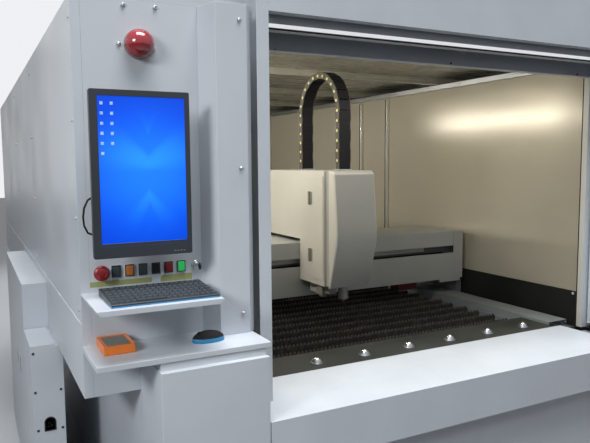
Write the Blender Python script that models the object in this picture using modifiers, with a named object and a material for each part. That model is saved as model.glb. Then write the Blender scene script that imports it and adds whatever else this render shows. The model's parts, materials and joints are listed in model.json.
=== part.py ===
"""Enclosed fibre laser sheet cutting machine with a flatbed, gantry, lift door and operator console.

Machine coordinates, in metres: X runs right from the left side face, Y runs into the machine from the
front of the door portal, and Z runs up from the floor. An empty moves everything so that the model's
origin is at the centre of its footprint, on the floor.
"""

import math

import bmesh
import bpy
from mathutils import Matrix, Vector

# Fits and sheet metal
SEAT = 0.0003  # clearance between pieces that touch
SEAM = 0.003  # visible gap between neighbouring panels
SHEET = 0.003
SEAM_DEPTH = 0.0012

# Enclosure
BED_CENTRE = 1.487  # distance from the left side face to the middle of the bed
REAR_FACE = 4.55
ENCLOSURE_TOP = 2.125
ENCLOSURE_BOTTOM = 0.843
OVERHANG = 0.184  # how far the upper enclosure stands out past the lower body
PANEL_FOLD = 0.030
BELT_SEAM = 1.09
PANEL_SEAMS = (1.52, 2.67)
FLOOR_GAP = 0.10
SKIRT_SEAM = 0.549
SKIRT_FOLD = 0.015
ROOF_RISE = 0.045
ROOF_INSET = 0.028
ROOF_BEAM = 0.040
ROOF_BEAMS = 5

# Door portal
OPENING_LEFT = 0.630
OPENING_WIDTH = 1.935
OPENING_TOP = 2.115
JAMB_WIDTH = 0.046
PORTAL_DEPTH = 0.20
TOWER_TOP = 2.86
INNER_BAND_BOTTOM = 2.015
HEADER_RETURN = 0.040
SILL_TOP = 0.751
SILL_FRONT = -0.165
SILL_REAR = 0.225
SILL_FACE = 0.173
SILL_LIP = 0.095
SILL_SIDE = 0.084  # the sill runs this far past the opening on each side
SILL_CORNER = 0.060
SILL_NOTCH = 0.170
SILL_NOTCH_FRONT = 0.010
FRONT_SKIRT_Y = -0.100

# Lift door
DOOR_LEAF = 0.022
DOOR_PLAY = 0.0005  # running clearance at the jambs and between the leaves
LOWER_LEAF_Y = 0.062
LEAF_SPACE = 0.014
DOOR_BAR = 0.023
DOOR_BAR_DEPTH = 0.040
DOOR_OPEN_BOTTOM = 2.065
DOOR_OVERLAP = 0.030
DOOR_FLOOR = 0.002

# Welded base
BEAM_INNER = 0.843  # half the distance between the two side beams
BEAM_WIDTH = 0.270
BEAM_BOTTOM = 0.12
BEAM_TOP = 0.70
BASE_FRONT = 0.30
BASE_REAR = 4.40
CROSS_COUNT = 4
CROSS_HEIGHT = 0.14
CROSS_WIDTH = 0.12
END_WALL = 0.040
END_WALL_TOP = 0.56
LEDGE_TOP = 0.62
LEDGE_WIDTH = 0.046
LEDGE_HEIGHT = 0.040
OUTRIGGER_LEG = 0.150
OUTRIGGER_WIDTH = 0.10
OUTRIGGER_TOP = 0.90
OUTRIGGER_ARM = 0.050
OUTRIGGER_FOOT = 0.15
OUTRIGGER_COUNT = 6
FOOT_RADIUS = 0.055
FOOT_PLATE = 0.022
FOOT_STEM = 0.020
FEET_PER_SIDE = 4
FRONT_BEAM = 0.080
FRONT_BEAM_Y = 0.030
RAIL_OFFSET = 1.075  # from the bed's middle to each gantry rail
RAIL_WIDTH = 0.030
RAIL_HEIGHT = 0.035

# Cutting bed
SLAT_FRONT = 0.50
SLAT_PITCH = 0.112
SLATS_PER_BANK = 14
SLAT_THICK = 0.004
SLAT_TIP = 0.745
TOOTH_PITCH = 0.090
TOOTH_HEIGHT = 0.030
SLAT_BASE = 0.650
COMB_WIDTH = 0.030
COMB_HEIGHT = 0.042
BED_SIDE_GAP = 0.012
TRAY_DEPTH = 0.14
TRAY_SIDE_GAP = 0.056

# Ball transfer apron
APRON_TOP = 0.742
APRON_DEPTH = 0.244
APRON_SIDE = 0.887  # half its width
BALL_COUNT = 7
BALL_PITCH = 0.247
BALL_Y = 0.324
BALL_RADIUS = 0.015
BALL_CLEARANCE = 0.0004
BALL_SEAT = 0.737
CUP_WALL = 0.0045
CUP_RIM = 0.757
CUP_BOTTOM = 0.724
FLANGE_RADIUS = 0.027
FLANGE_TOP = 0.7455

# Inner walls and rail covers
WALL_OFFSET = 1.128  # from the bed's middle to each inner wall
WALL_FOOT = 0.018
WALL_FRONT = 0.30
WALL_POSTS = (2.07, 2.43, 4.20)
WALL_POST = 0.065
WALL_POST_RISE = 0.010
WALL_TOP_RAIL = 0.030
LINER_TOP = 0.890
LINER_THICK = 0.006
INNER_POST = 0.060
INNER_POST_TOP = 2.035
POST_PLATE = 0.031  # front plate of the inner posts
POST_PLATE_EDGE = 1.046
RAIL_COVER_INNER = 0.908
RAIL_COVER_OUTER = 1.044
RAIL_COVER_TOP = 0.750
RAIL_COVER_REAR = 4.30

# Gantry, at its rest place near the front of the bed
BEAM_FACE = 1.147
BEAM_BACK = 1.560
GANTRY_TOP = 1.152
GANTRY_BOTTOM = 0.842
SLOT_TOP = 1.058
SLOT_BOTTOM = 1.011
COVER_END = 1.000
CAP_END = 1.076
BRACKET_START = 0.890
BRACKET_END = 1.057
BRACKET_BOTTOM = 0.824
CORE_FRONT = 0.055
CORE_BACK = 0.050
TRUCK_WIDTH = 0.040
TRUCK_LENGTH = 0.36
GANTRY_TRAVEL_FRONT = 0.30
GANTRY_TRAVEL_REAR = 2.70

# Cutting head carriage
HEAD_LEFT = 1.351
HEAD_WIDTH = 0.249
HEAD_TOP = 1.560
HEAD_BOTTOM = 0.944
HEAD_WALL = 0.004
HEAD_SEAM_Y = 0.8735  # where the front cover ends and the rear cover starts
HEAD_BACK = 1.700
HEAD_BACK_BOTTOM = 1.174
FRONT_CREASE = (0.742, 1.230)
FRONT_TOP_Y = 0.768
FRONT_BOTTOM_Y = 0.812
FRONT_ROUND = 0.030
CHANNEL_FRONT = 0.822
CHANNEL_DEPTH = 0.012
CHANNEL_TOP = 0.006
SIDE_DOOR_FRONT = 0.880
SIDE_DOOR_REAR = 1.018
SIDE_DOOR_MARGIN = 0.030
SIDE_DOOR_THICK = 0.0035
HINGE_HEIGHTS = (1.100, 1.411)
HINGE_LENGTH = 0.072
HINGE_RADIUS = 0.008
NOZZLE_X = 1.476
NOZZLE_Y = 0.884
NOZZLE_TIP = 0.848
HEAD_RADIUS = 0.043
SLIDE_WIDTH = 0.130

# Cable chain over the head
CHAIN_RADIUS = 0.2045
CHAIN_FRONT_Y = 0.883
CHAIN_HEIGHT = 0.036
CHAIN_WIDTH = 0.076
CHAIN_SPRING = 1.875  # height where the legs turn into the bend
CHAIN_LINKS_LEG = 6
CHAIN_LINKS_BEND = 12
CHAIN_NOTCH = 0.004
CHAIN_FOOT = 0.012

# Operator console
CONSOLE_Y = 0.096
CONSOLE_RIGHT = 0.407
PILLAR_Y = -0.006
PILLAR_LEFT = 0.435
PILLAR_RIGHT = 0.544
PILLAR_FLANGE = 0.566
PILLAR_BEVEL = 0.021
PILLAR_DEPTH = 0.19
CONTROL_Z = 1.253
BUTTON_FIRST = 0.113
BUTTON_PITCH = 0.0438
BUTTON_COUNT = 6
BUTTON_WIDTH = 0.030
BUTTON_HEIGHT = 0.039
BUTTON_BEZEL = 0.0035
BUTTON_OUT = 0.009
BUTTON_TRAVEL = 0.003
CONTROL_DEPTH = 0.030
ESTOP_X = 0.064
ESTOP_RADIUS = 0.0255
ESTOP_STEM = 0.009
ESTOP_OUT = 0.034
ESTOP_TRAVEL = 0.005
KEY_X = 0.385
KEY_BARREL = 0.012
KEY_OUT = 0.018
BEACON_X = 0.209
BEACON_Z = 1.986
BEACON_RADIUS = 0.047
MONITOR_X = 0.025
MONITOR_Z = 1.314
MONITOR_WIDTH = 0.308
MONITOR_HEIGHT = 0.511
MONITOR_FRONT = -0.032
MONITOR_THICK = 0.030
MONITOR_BEZEL = 0.022
MONITOR_CHIN = 0.016
SHELF_LIP = 0.017
KEYBOARD_SHELF_TOP = 1.189
KEYBOARD_SHELF_FRONT = -0.19
KEYBOARD_SHELF_RIGHT = 0.380
MITRE = 0.015
MOUSE_SHELF_TOP = 1.017
MOUSE_SHELF_FRONT = -0.150
MOUSE_SHELF_RIGHT = 0.556
CABINET_RIGHT = 0.543
CABINET_STEP = 0.026
KEYBOARD = (0.045, -0.165, 0.330, 0.200)
KEYBOARD_THICK = 0.016
KEYBOARD_RISE = 0.014
MOUSE = (0.372, -0.038, 0.112, 0.064)
MOUSE_HEIGHT = 0.036
PENDANT = (0.047, -0.040, 0.088, 0.112)
PENDANT_HEIGHT = 0.030

# Left side service box and the laser source in the left bay
SERVICE_LEFT = -0.108
SERVICE_RIGHT = 0.020
SERVICE_SHOULDER = -0.012
SERVICE_FRONT = 0.79
SERVICE_LENGTH = 0.31  # of the low front part
SERVICE_REAR_LENGTH = 1.24
SERVICE_TOP = 0.850
SERVICE_REAR_TOP = 1.057
SERVICE_GAP = 0.012
SERVICE_ARCH_X = -0.042
SERVICE_ARCH_WIDTH = 0.040
SERVICE_ARCH_BOTTOM = 0.480
SERVICE_ARCH_HEIGHT = 0.055
SERVICE_FOOT = 0.022
LASER_SIZE = (0.260, 0.880, 0.560)
LASER_Y = 1.22
LASER_FIN_PITCH = 0.060
LASER_FINS = 12

ROUND = 24  # sides of a round piece
SMALL_ROUND = 12

LOWER_LEFT = OVERHANG
ENCLOSURE_RIGHT = 2 * BED_CENTRE
LOWER_RIGHT = ENCLOSURE_RIGHT - OVERHANG
OPENING_RIGHT = OPENING_LEFT + OPENING_WIDTH
JAMB_LEFT = OPENING_LEFT - JAMB_WIDTH
SILL_LEFT = OPENING_LEFT - SILL_SIDE
SILL_RIGHT = OPENING_RIGHT + SILL_SIDE
SILL_BOTTOM = SILL_TOP - SILL_FACE
HEAD_RIGHT = HEAD_LEFT + HEAD_WIDTH
HEAD_MIDDLE = HEAD_LEFT + HEAD_WIDTH / 2

# The footprint runs from the service box to the right side, and from the keyboard shelf to the rear.
FOOTPRINT_X = (SERVICE_LEFT, ENCLOSURE_RIGHT)
FOOTPRINT_Y = (KEYBOARD_SHELF_FRONT, REAR_FACE)

PALETTE = {
    "white_enamel": ((0.62, 0.66, 0.71), 0.40, 0.0),
    "dark_steel": ((0.06, 0.06, 0.065), 0.55, 0.6),
    "base_grey": ((0.14, 0.15, 0.16), 0.55, 0.2),
    "tan_lining": ((0.46, 0.40, 0.30), 0.45, 0.1),
    "bright_steel": ((0.60, 0.61, 0.62), 0.30, 0.9),
    "chrome_ball": ((0.80, 0.81, 0.82), 0.12, 1.0),
    "beam_grey": ((0.24, 0.25, 0.24), 0.45, 0.1),
    "head_cream": ((0.52, 0.50, 0.44), 0.40, 0.0),
    "chain_black": ((0.02, 0.02, 0.022), 0.60, 0.0),
    "black_plastic": ((0.025, 0.03, 0.035), 0.45, 0.0),
    "signal_red": ((0.50, 0.02, 0.03), 0.35, 0.0),
    "amber_lens": ((0.60, 0.20, 0.03), 0.35, 0.0),
    "green_lens": ((0.05, 0.55, 0.10), 0.35, 0.0),
    "teal_lens": ((0.03, 0.08, 0.09), 0.40, 0.0),
    "pendant_orange": ((0.80, 0.20, 0.03), 0.45, 0.0),
}


def clear_scene():
    """Removes whatever the file holds."""
    for item in list(bpy.data.objects):
        bpy.data.objects.remove(item, do_unlink=True)


def make_collection(name):
    group = bpy.data.collections.new(name)
    bpy.context.scene.collection.children.link(group)
    return group


def make_material(name, colour, roughness, metallic):
    material = bpy.data.materials.new(name)
    material.use_nodes = True
    shader = material.node_tree.nodes["Principled BSDF"]
    shader.inputs["Base Color"].default_value = (*colour, 1.0)
    shader.inputs["Roughness"].default_value = roughness
    shader.inputs["Metallic"].default_value = metallic
    material.diffuse_color = (*colour, 1.0)
    return material


clear_scene()
PARTS = make_collection("fiber_laser_cutting_machine")
CUTTERS = make_collection("cutters")
MATERIALS = {name: make_material(name, *values) for name, values in PALETTE.items()}
MACHINE = bpy.data.objects.new("machine_frame", None)
MACHINE.location = (-sum(FOOTPRINT_X) / 2, -sum(FOOTPRINT_Y) / 2, 0)
PARTS.objects.link(MACHINE)


def new_object(name, mesh, material=None, origin=(0, 0, 0)):
    """Links a mesh given in machine coordinates. Without a material it is a helper for a Boolean."""
    mesh.transform(Matrix.Translation(-Vector(origin)))
    item = bpy.data.objects.new(name, mesh)
    item.location = origin
    item.parent = MACHINE
    if material is None:
        CUTTERS.objects.link(item)
        item.hide_render = True
        item.display_type = "WIRE"
    else:
        PARTS.objects.link(item)
        mesh.materials.append(MATERIALS[material])
    return item


def mesh_from(bm, name):
    mesh = bpy.data.meshes.new(name)
    bm.to_mesh(mesh)
    bm.free()
    return mesh


def block_mesh(name, x, y, z, drop=None):
    """A box between the given spans. drop names a side left open: -X, +X, -Y, +Y, -Z or +Z."""
    bm = bmesh.new()
    bmesh.ops.create_cube(bm, size=1.0)
    middle = Vector(((x[0] + x[1]) / 2, (y[0] + y[1]) / 2, (z[0] + z[1]) / 2))
    size = Vector((x[1] - x[0], y[1] - y[0], z[1] - z[0]))
    bmesh.ops.transform(bm, matrix=Matrix.Translation(middle) @ Matrix.Diagonal((*size, 1)), verts=bm.verts)
    if drop:
        axis = Vector([{"X": 0, "Y": 1, "Z": 2}[drop[1]] == i for i in range(3)])
        axis = axis if drop[0] == "+" else -axis
        bm.normal_update()
        faces = [face for face in bm.faces if face.normal.dot(axis) > 0.9]
        bmesh.ops.delete(bm, geom=faces, context="FACES")
    return mesh_from(bm, name)


def block(name, x, y, z, material=None, origin=(0, 0, 0)):
    return new_object(name, block_mesh(name, x, y, z), material, origin)


def tray(name, x, y, z, open_side, material=None, wall=SHEET):
    """A folded sheet: a box with one side open and walls of sheet metal inside its outer size."""
    item = new_object(name, block_mesh(name, x, y, z, open_side), material)
    shell = item.modifiers.new("sheet", "SOLIDIFY")
    shell.thickness = wall
    shell.offset = -1
    shell.use_even_offset = True
    return item


def cylinder(name, centre, axis, radius, length, material=None, sides=SMALL_ROUND, top_radius=None, origin=(0, 0, 0)):
    """A cylinder or cone whose middle is at centre and whose axis is the given direction."""
    bm = bmesh.new()
    end = radius if top_radius is None else top_radius
    bmesh.ops.create_cone(bm, cap_ends=True, segments=sides, radius1=radius, radius2=end, depth=length)
    turn = Vector((0, 0, 1)).rotation_difference(Vector(axis)).to_matrix().to_4x4()
    bmesh.ops.transform(bm, matrix=Matrix.Translation(centre) @ turn, verts=bm.verts)
    return new_object(name, mesh_from(bm, name), material, origin)


def outline(name, plane, points, span, material=None, origin=(0, 0, 0)):
    """Extrudes a flat outline across a span. plane is YZ, XZ or XY, for the outline's two axes."""
    curve = bpy.data.curves.new(name, "CURVE")
    curve.dimensions = "2D"
    curve.fill_mode = "BOTH"
    curve.extrude = (span[1] - span[0]) / 2
    spline = curve.splines.new("POLY")
    spline.points.add(len(points) - 1)
    for point, (u, v) in zip(spline.points, points):
        point.co = (u, v, 0, 1)
    spline.use_cyclic_u = True
    middle = (span[0] + span[1]) / 2
    columns = {
        "YZ": ((0, 1, 0), (0, 0, 1), (1, 0, 0), (middle, 0, 0)),
        "XZ": ((1, 0, 0), (0, 0, 1), (0, -1, 0), (0, middle, 0)),
        "XY": ((1, 0, 0), (0, 1, 0), (0, 0, 1), (0, 0, middle)),
    }[plane]
    sketch = bpy.data.objects.new(name + "_sketch", curve)
    bpy.context.scene.collection.objects.link(sketch)
    bpy.context.view_layer.update()
    mesh = bpy.data.meshes.new_from_object(sketch.evaluated_get(bpy.context.evaluated_depsgraph_get()))
    bpy.data.objects.remove(sketch, do_unlink=True)
    frame = Matrix.Identity(4)
    for index, column in enumerate(columns):
        frame.col[index] = (*column, 1 if index == 3 else 0)
    bm = bmesh.new()
    bm.from_mesh(mesh)
    bmesh.ops.remove_doubles(bm, verts=bm.verts, dist=1e-6)
    bmesh.ops.transform(bm, matrix=frame, verts=bm.verts)
    bmesh.ops.recalc_face_normals(bm, faces=bm.faces)
    bm.to_mesh(mesh)
    bm.free()
    mesh.name = name
    mesh.materials.clear()
    return new_object(name, mesh, material, origin)


def sheet_line(points, thickness=SHEET):
    """The closed outline of a bent sheet that follows the points, with its thickness on their right."""
    offset = []
    count = len(points)
    for index, point in enumerate(points):
        here = Vector(point)
        normals = []
        if index > 0:
            along = (here - Vector(points[index - 1])).normalized()
            normals.append(Vector((along.y, -along.x)))
        if index < count - 1:
            along = (Vector(points[index + 1]) - here).normalized()
            normals.append(Vector((along.y, -along.x)))
        normal = sum(normals, Vector((0, 0))).normalized()
        offset.append(here + normal * (thickness / normal.dot(normals[0])))
    return [tuple(point) for point in points] + [tuple(point) for point in reversed(offset)]


def arc(centre, radius, start, end, steps):
    """Points on a circular arc, with angles in degrees."""
    turn = [math.radians(start + (end - start) * i / steps) for i in range(steps + 1)]
    return [(centre[0] + radius * math.cos(a), centre[1] + radius * math.sin(a)) for a in turn]


def turned(name, base, axis, rows, material=None, steps=ROUND, origin=(0, 0, 0)):
    """A turned piece: rows are (radius, distance along the axis) from its top rim down the outer side."""
    mesh = bpy.data.meshes.new(name)
    bm = bmesh.new()
    verts = [bm.verts.new((radius, 0, along)) for radius, along in rows]
    for first, second in zip(verts, verts[1:]):
        bm.edges.new((first, second))
    bm.to_mesh(mesh)
    bm.free()
    turn = Vector((0, 0, 1)).rotation_difference(Vector(axis)).to_matrix().to_4x4()
    item = new_object(name, mesh, material)
    item.matrix_local = Matrix.Translation(base) @ turn
    spin = item.modifiers.new("spin", "SCREW")
    spin.steps = steps
    spin.render_steps = steps
    spin.use_merge_vertices = True
    spin.merge_threshold = 1e-5
    return item


def combine(body, operation, others):
    for other in others:
        change = body.modifiers.new(other.name, "BOOLEAN")
        change.operation = operation
        change.solver = "EXACT"
        change.object = other
    return body


def join(body, *others):
    return combine(body, "UNION", others)


def cut(body, *others):
    return combine(body, "DIFFERENCE", others)


def join_all(body, pieces, name):
    """Joins many helpers at once, as one collection operand."""
    group = bpy.data.collections.new(name)
    CUTTERS.children.link(group)
    for piece in pieces:
        CUTTERS.objects.unlink(piece)
        group.objects.link(piece)
    change = body.modifiers.new(name, "BOOLEAN")
    change.operation = "UNION"
    change.solver = "EXACT"
    change.operand_type = "COLLECTION"
    change.collection = group
    return body


def sides(offset, width):
    """The X spans of a pair of pieces, mirrored about the bed's middle, from their inner offset."""
    left = (BED_CENTRE - offset - width, BED_CENTRE - offset)
    right = (BED_CENTRE + offset, BED_CENTRE + offset + width)
    return {"left": left, "right": right}


def mirrored(points, side):
    """Outline points given as (distance from the bed's middle, height), placed on one side."""
    if side == "right":
        return [(BED_CENTRE + u, v) for u, v in points]
    return [(BED_CENTRE - u, v) for u, v in reversed(points)]


def spread(first, last, count):
    return [first + (last - first) * index / (count - 1) for index in range(count)]


def build_base():
    """Welded base: two side beams, cross members, outriggers, gantry rails and levelling feet."""
    bays = sides(BEAM_INNER, BEAM_WIDTH)
    beam_y = (BASE_FRONT, BASE_REAR)
    base = block("base_frame", bays["left"], beam_y, (BEAM_BOTTOM, BEAM_TOP), "base_grey")
    across = (bays["left"][1] - END_WALL, bays["right"][0] + END_WALL)
    pieces = [block("beam_right", bays["right"], beam_y, (BEAM_BOTTOM, BEAM_TOP))]
    cross_ys = spread(BASE_FRONT + CROSS_WIDTH, BASE_REAR - CROSS_WIDTH, CROSS_COUNT)
    for y in cross_ys:
        span = (y - CROSS_WIDTH / 2, y + CROSS_WIDTH / 2)
        pieces.append(block("cross_member", across, span, (BEAM_BOTTOM + 0.001, BEAM_BOTTOM + CROSS_HEIGHT)))
    for y in (BASE_FRONT, BASE_REAR - END_WALL):
        wall_z = (BEAM_BOTTOM + 0.002, END_WALL_TOP)
        pieces.append(block("end_wall", across, (y + 0.001, y + END_WALL - 0.001), wall_z))
    ledge_z = (LEDGE_TOP - LEDGE_HEIGHT, LEDGE_TOP)
    ledge_y = (SLAT_FRONT - SLAT_PITCH / 2, SLAT_FRONT + SLAT_PITCH * 2 * SLATS_PER_BANK)
    for side, span in sides(BEAM_INNER - LEDGE_WIDTH, LEDGE_WIDTH + 0.010).items():
        pieces.append(block("slat_ledge_" + side, span, ledge_y, ledge_z))
    for side, span in sides(RAIL_OFFSET - RAIL_WIDTH / 2, RAIL_WIDTH).items():
        rail_y = (BASE_FRONT + 0.05, BASE_REAR - 0.02)
        pieces.append(block("gantry_rail_" + side, span, rail_y, (BEAM_TOP - 0.010, BEAM_TOP + RAIL_HEIGHT)))
    pieces += outriggers()
    pieces += front_support(across)
    pieces += levelling_feet(bays)
    return join_all(base, pieces, "base_pieces")


def outriggers():
    """Legs and arms that carry the overhanging side bays."""
    outer = BED_CENTRE - LOWER_LEFT - SKIRT_FOLD - SEAT
    inner = outer - OUTRIGGER_LEG
    beam = BEAM_INNER + BEAM_WIDTH - 0.026
    arm_end = BED_CENTRE - PANEL_FOLD - SHEET - SEAT
    arm_bottom = OUTRIGGER_TOP - OUTRIGGER_ARM
    foot_z = (BEAM_TOP - 2 * OUTRIGGER_FOOT + 0.05, BEAM_TOP - OUTRIGGER_FOOT + 0.05)
    points = [
        (beam, foot_z[0]),
        (outer, foot_z[0]),
        (outer, arm_bottom),
        (arm_end, arm_bottom),
        (arm_end, OUTRIGGER_TOP),
        (inner, OUTRIGGER_TOP),
        (inner, foot_z[1]),
        (beam, foot_z[1]),
    ]
    found = []
    for y in spread(BASE_FRONT + 0.25, BASE_REAR - 0.15, OUTRIGGER_COUNT):
        for side in ("left", "right"):
            span = (y - OUTRIGGER_WIDTH / 2, y + OUTRIGGER_WIDTH / 2)
            found.append(outline("outrigger_" + side, "XZ", mirrored(points, side), span))
    return found


def front_support(across):
    """The beam under the sill, with arms back to the side beams."""
    top = SILL_TOP - SHEET - SEAT
    bottom = top - FRONT_BEAM
    y = (FRONT_BEAM_Y, FRONT_BEAM_Y + FRONT_BEAM)
    found = [block("front_beam", (across[0] - 0.06, across[1] + 0.06), y, (bottom, top))]
    for span in ((across[0] - 0.055, across[0] + 0.025), (across[1] - 0.025, across[1] + 0.055)):
        arm_z = (bottom - 0.04, bottom + 0.020)
        found.append(block("front_arm", span, (y[0] + 0.010, BASE_FRONT + 0.02), arm_z))
    return found


def levelling_feet(bays):
    found = []
    for y in spread(BASE_FRONT + 0.10, BASE_REAR - 0.10, FEET_PER_SIDE):
        for span in bays.values():
            x = sum(span) / 2
            found.append(cylinder("foot_plate", (x, y, FOOT_PLATE / 2), (0, 0, 1), FOOT_RADIUS, FOOT_PLATE))
            stem = BEAM_BOTTOM + 0.01 - FOOT_PLATE / 2
            middle = (x, y, FOOT_PLATE / 2 + stem / 2)
            found.append(cylinder("foot_stem", middle, (0, 0, 1), FOOT_STEM, stem, sides=8))
    return found


def build_skirts():
    """Sheet skirts round the lower body, each with the step of its horizontal seam."""
    y = (CONSOLE_Y + SHEET + SEAT, REAR_FACE - PANEL_FOLD - SEAT)
    top = ENCLOSURE_BOTTOM - SEAT
    for side in ("left", "right"):
        face = BED_CENTRE - LOWER_LEFT
        line = [
            (face - SKIRT_FOLD, FLOOR_GAP),
            (face - SEAM_DEPTH, FLOOR_GAP),
            (face - SEAM_DEPTH, SKIRT_SEAM),
            (face, SKIRT_SEAM),
            (face, top),
            (face - SKIRT_FOLD, top),
        ]
        points = mirrored(list(reversed(sheet_line(list(reversed(line))))), side)
        outline(side + "_skirt", "XZ", points, y, "white_enamel")
    x = (SILL_LEFT, SILL_RIGHT)
    z = (FLOOR_GAP, SILL_BOTTOM - SEAT)
    tray("front_skirt", x, (FRONT_SKIRT_Y, FRONT_SKIRT_Y + PANEL_FOLD), z, "+Y", "white_enamel")
    rear = tray(
        "rear_wall",
        (0, ENCLOSURE_RIGHT),
        (REAR_FACE - PANEL_FOLD, REAR_FACE),
        (ENCLOSURE_BOTTOM, ENCLOSURE_TOP),
        "-Y",
        "white_enamel",
    )
    lower = tray(
        "rear_wall_lower",
        (LOWER_LEFT, LOWER_RIGHT),
        (REAR_FACE - PANEL_FOLD + 0.001, REAR_FACE - 0.001),
        (FLOOR_GAP, ENCLOSURE_BOTTOM + SHEET - 0.001),
        "-Y",
    )
    join(rear, lower)


def build_sill():
    """White folded sill under the opening, cut off at its rear left corner and notched at the right."""
    line = [
        (SILL_FRONT + SILL_LIP, SILL_BOTTOM),
        (SILL_FRONT, SILL_BOTTOM),
        (SILL_FRONT, SILL_TOP),
        (SILL_REAR, SILL_TOP),
        (SILL_REAR, SILL_TOP - SILL_LIP / 4),
    ]
    sill = outline("front_sill", "YZ", sheet_line(line), (SILL_LEFT, SILL_RIGHT), "white_enamel")
    corner = [
        (SILL_LEFT - SEAM, SILL_REAR - 2 * SILL_CORNER),
        (SILL_LEFT - SEAM + SILL_CORNER, SILL_REAR + SEAM),
        (SILL_LEFT - SEAM, SILL_REAR + SEAM),
    ]
    z = (SILL_BOTTOM, SILL_TOP + SEAM)
    notch_right = OPENING_RIGHT - SHEET
    notch = block("sill_notch", (notch_right - SILL_NOTCH, notch_right), (SILL_NOTCH_FRONT, SILL_REAR + SEAM), z)
    rest = block("sill_rest", (notch_right - SEAT, SILL_RIGHT + SEAM), (PORTAL_DEPTH + SEAT, SILL_REAR + SEAM), z)
    cut(sill, outline("sill_corner", "XY", corner, z), notch, rest)


def build_side_panels():
    """Left and right outer walls: folded panels with their seams."""
    y = (CONSOLE_Y, REAR_FACE - PANEL_FOLD - SEAT)
    for side, x, open_side in (
        ("left", (0, PANEL_FOLD), "+X"),
        ("right", (ENCLOSURE_RIGHT - PANEL_FOLD, ENCLOSURE_RIGHT), "-X"),
    ):
        wall = tray(side + "_side_panels", x, y, (ENCLOSURE_BOTTOM, ENCLOSURE_TOP), open_side, "white_enamel")
        face = x[0] if side == "left" else x[1]
        depth = (face - SEAM_DEPTH, face + SEAM_DEPTH)
        seams = [block("belt_seam", depth, (y[0] - SEAM, y[1] + SEAM), (BELT_SEAM - SEAM / 2, BELT_SEAM + SEAM / 2))]
        for seam in PANEL_SEAMS:
            span = (seam - SEAM / 2, seam + SEAM / 2)
            seams.append(block("panel_seam", depth, span, (BELT_SEAM, ENCLOSURE_TOP + SEAM)))
        cut(wall, *seams)


def build_roof():
    """Roof tray on the folds of the walls, with cross beams under it."""
    x = (ROOF_INSET, ENCLOSURE_RIGHT - ROOF_INSET)
    y = (PORTAL_DEPTH + SEAT, REAR_FACE - ROOF_INSET)
    z = (ENCLOSURE_TOP + SEAT, ENCLOSURE_TOP + ROOF_RISE)
    roof = tray("roof", x, y, z, "-Z", "white_enamel")
    beams = []
    for place in spread(y[0] + 0.35, y[1] - 0.35, ROOF_BEAMS):
        span = (place - ROOF_BEAM / 2, place + ROOF_BEAM / 2)
        inside = (x[0] + SHEET / 2, x[1] - SHEET / 2)
        beams.append(block("roof_beam", inside, span, (z[0] + 0.002, z[1] - SHEET / 2)))
    join(roof, *beams)


def build_inner_walls():
    """Lining of the cutting room, standing on the side beams, with posts, top rail and splash liner."""
    top = ENCLOSURE_TOP
    foot = BEAM_TOP + SEAT
    for side in ("left", "right"):
        face = WALL_OFFSET
        line = [
            (face - WALL_FOOT, foot + SHEET),
            (face, foot + SHEET),
            (face, top - WALL_TOP_RAIL),
            (face - WALL_TOP_RAIL, top - WALL_TOP_RAIL),
            (face - WALL_TOP_RAIL, top),
        ]
        points = mirrored(sheet_line(line), side)
        y = (WALL_FRONT, REAR_FACE - PANEL_FOLD - SEAT)
        wall = outline(side + "_inner_wall", "XZ", points, y, "tan_lining")
        inner = (face - WALL_POST_RISE, face + SHEET / 2)
        pieces = []
        for place in WALL_POSTS:
            span = (place - WALL_POST / 2, place + WALL_POST / 2)
            post = [(inner[0], LINER_TOP), (inner[1], LINER_TOP), (inner[1], top - 0.040), (inner[0], top - 0.040)]
            pieces.append(outline("wall_post", "XZ", mirrored(post, side), span))
        liner = (face - LINER_THICK, face + SHEET / 2)
        band_z = (foot + SHEET / 2, LINER_TOP + 0.001)
        band = [(liner[0], band_z[0]), (liner[1], band_z[0]), (liner[1], band_z[1]), (liner[0], band_z[1])]
        pieces.append(outline("splash_liner", "XZ", mirrored(band, side), (y[0] + 0.002, y[1] - 0.002)))
        outer = face + INNER_POST
        post = [
            (inner[0], foot + 0.001),
            (outer, foot + 0.001),
            (outer, INNER_POST_TOP),
            (inner[0], INNER_POST_TOP),
        ]
        pieces.append(outline("front_post", "XZ", mirrored(post, side), (y[0] - INNER_POST, y[0] + 0.004)))
        edge = POST_PLATE_EDGE
        plate_z = (SILL_TOP - 0.026, INNER_POST_TOP - 0.001)
        plate = [(edge, plate_z[0]), (outer - 0.001, plate_z[0]), (outer - 0.001, plate_z[1]), (edge, plate_z[1])]
        plate_y = (y[0] - INNER_POST + 0.001 - POST_PLATE, y[0] - INNER_POST + 0.001)
        pieces.append(outline("post_plate", "XZ", mirrored(plate, side), plate_y))
        join(wall, *pieces)


def build_rail_covers():
    """Bright folded covers beside the gantry rails."""
    for side in ("left", "right"):
        line = [
            (RAIL_COVER_INNER, BEAM_TOP + SEAT),
            (RAIL_COVER_INNER, RAIL_COVER_TOP),
            (RAIL_COVER_OUTER, RAIL_COVER_TOP),
            (RAIL_COVER_OUTER, RAIL_COVER_TOP - 0.020),
        ]
        points = mirrored(sheet_line(line), side)
        outline(side + "_rail_cover", "XZ", points, (BASE_FRONT, RAIL_COVER_REAR), "bright_steel")


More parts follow.
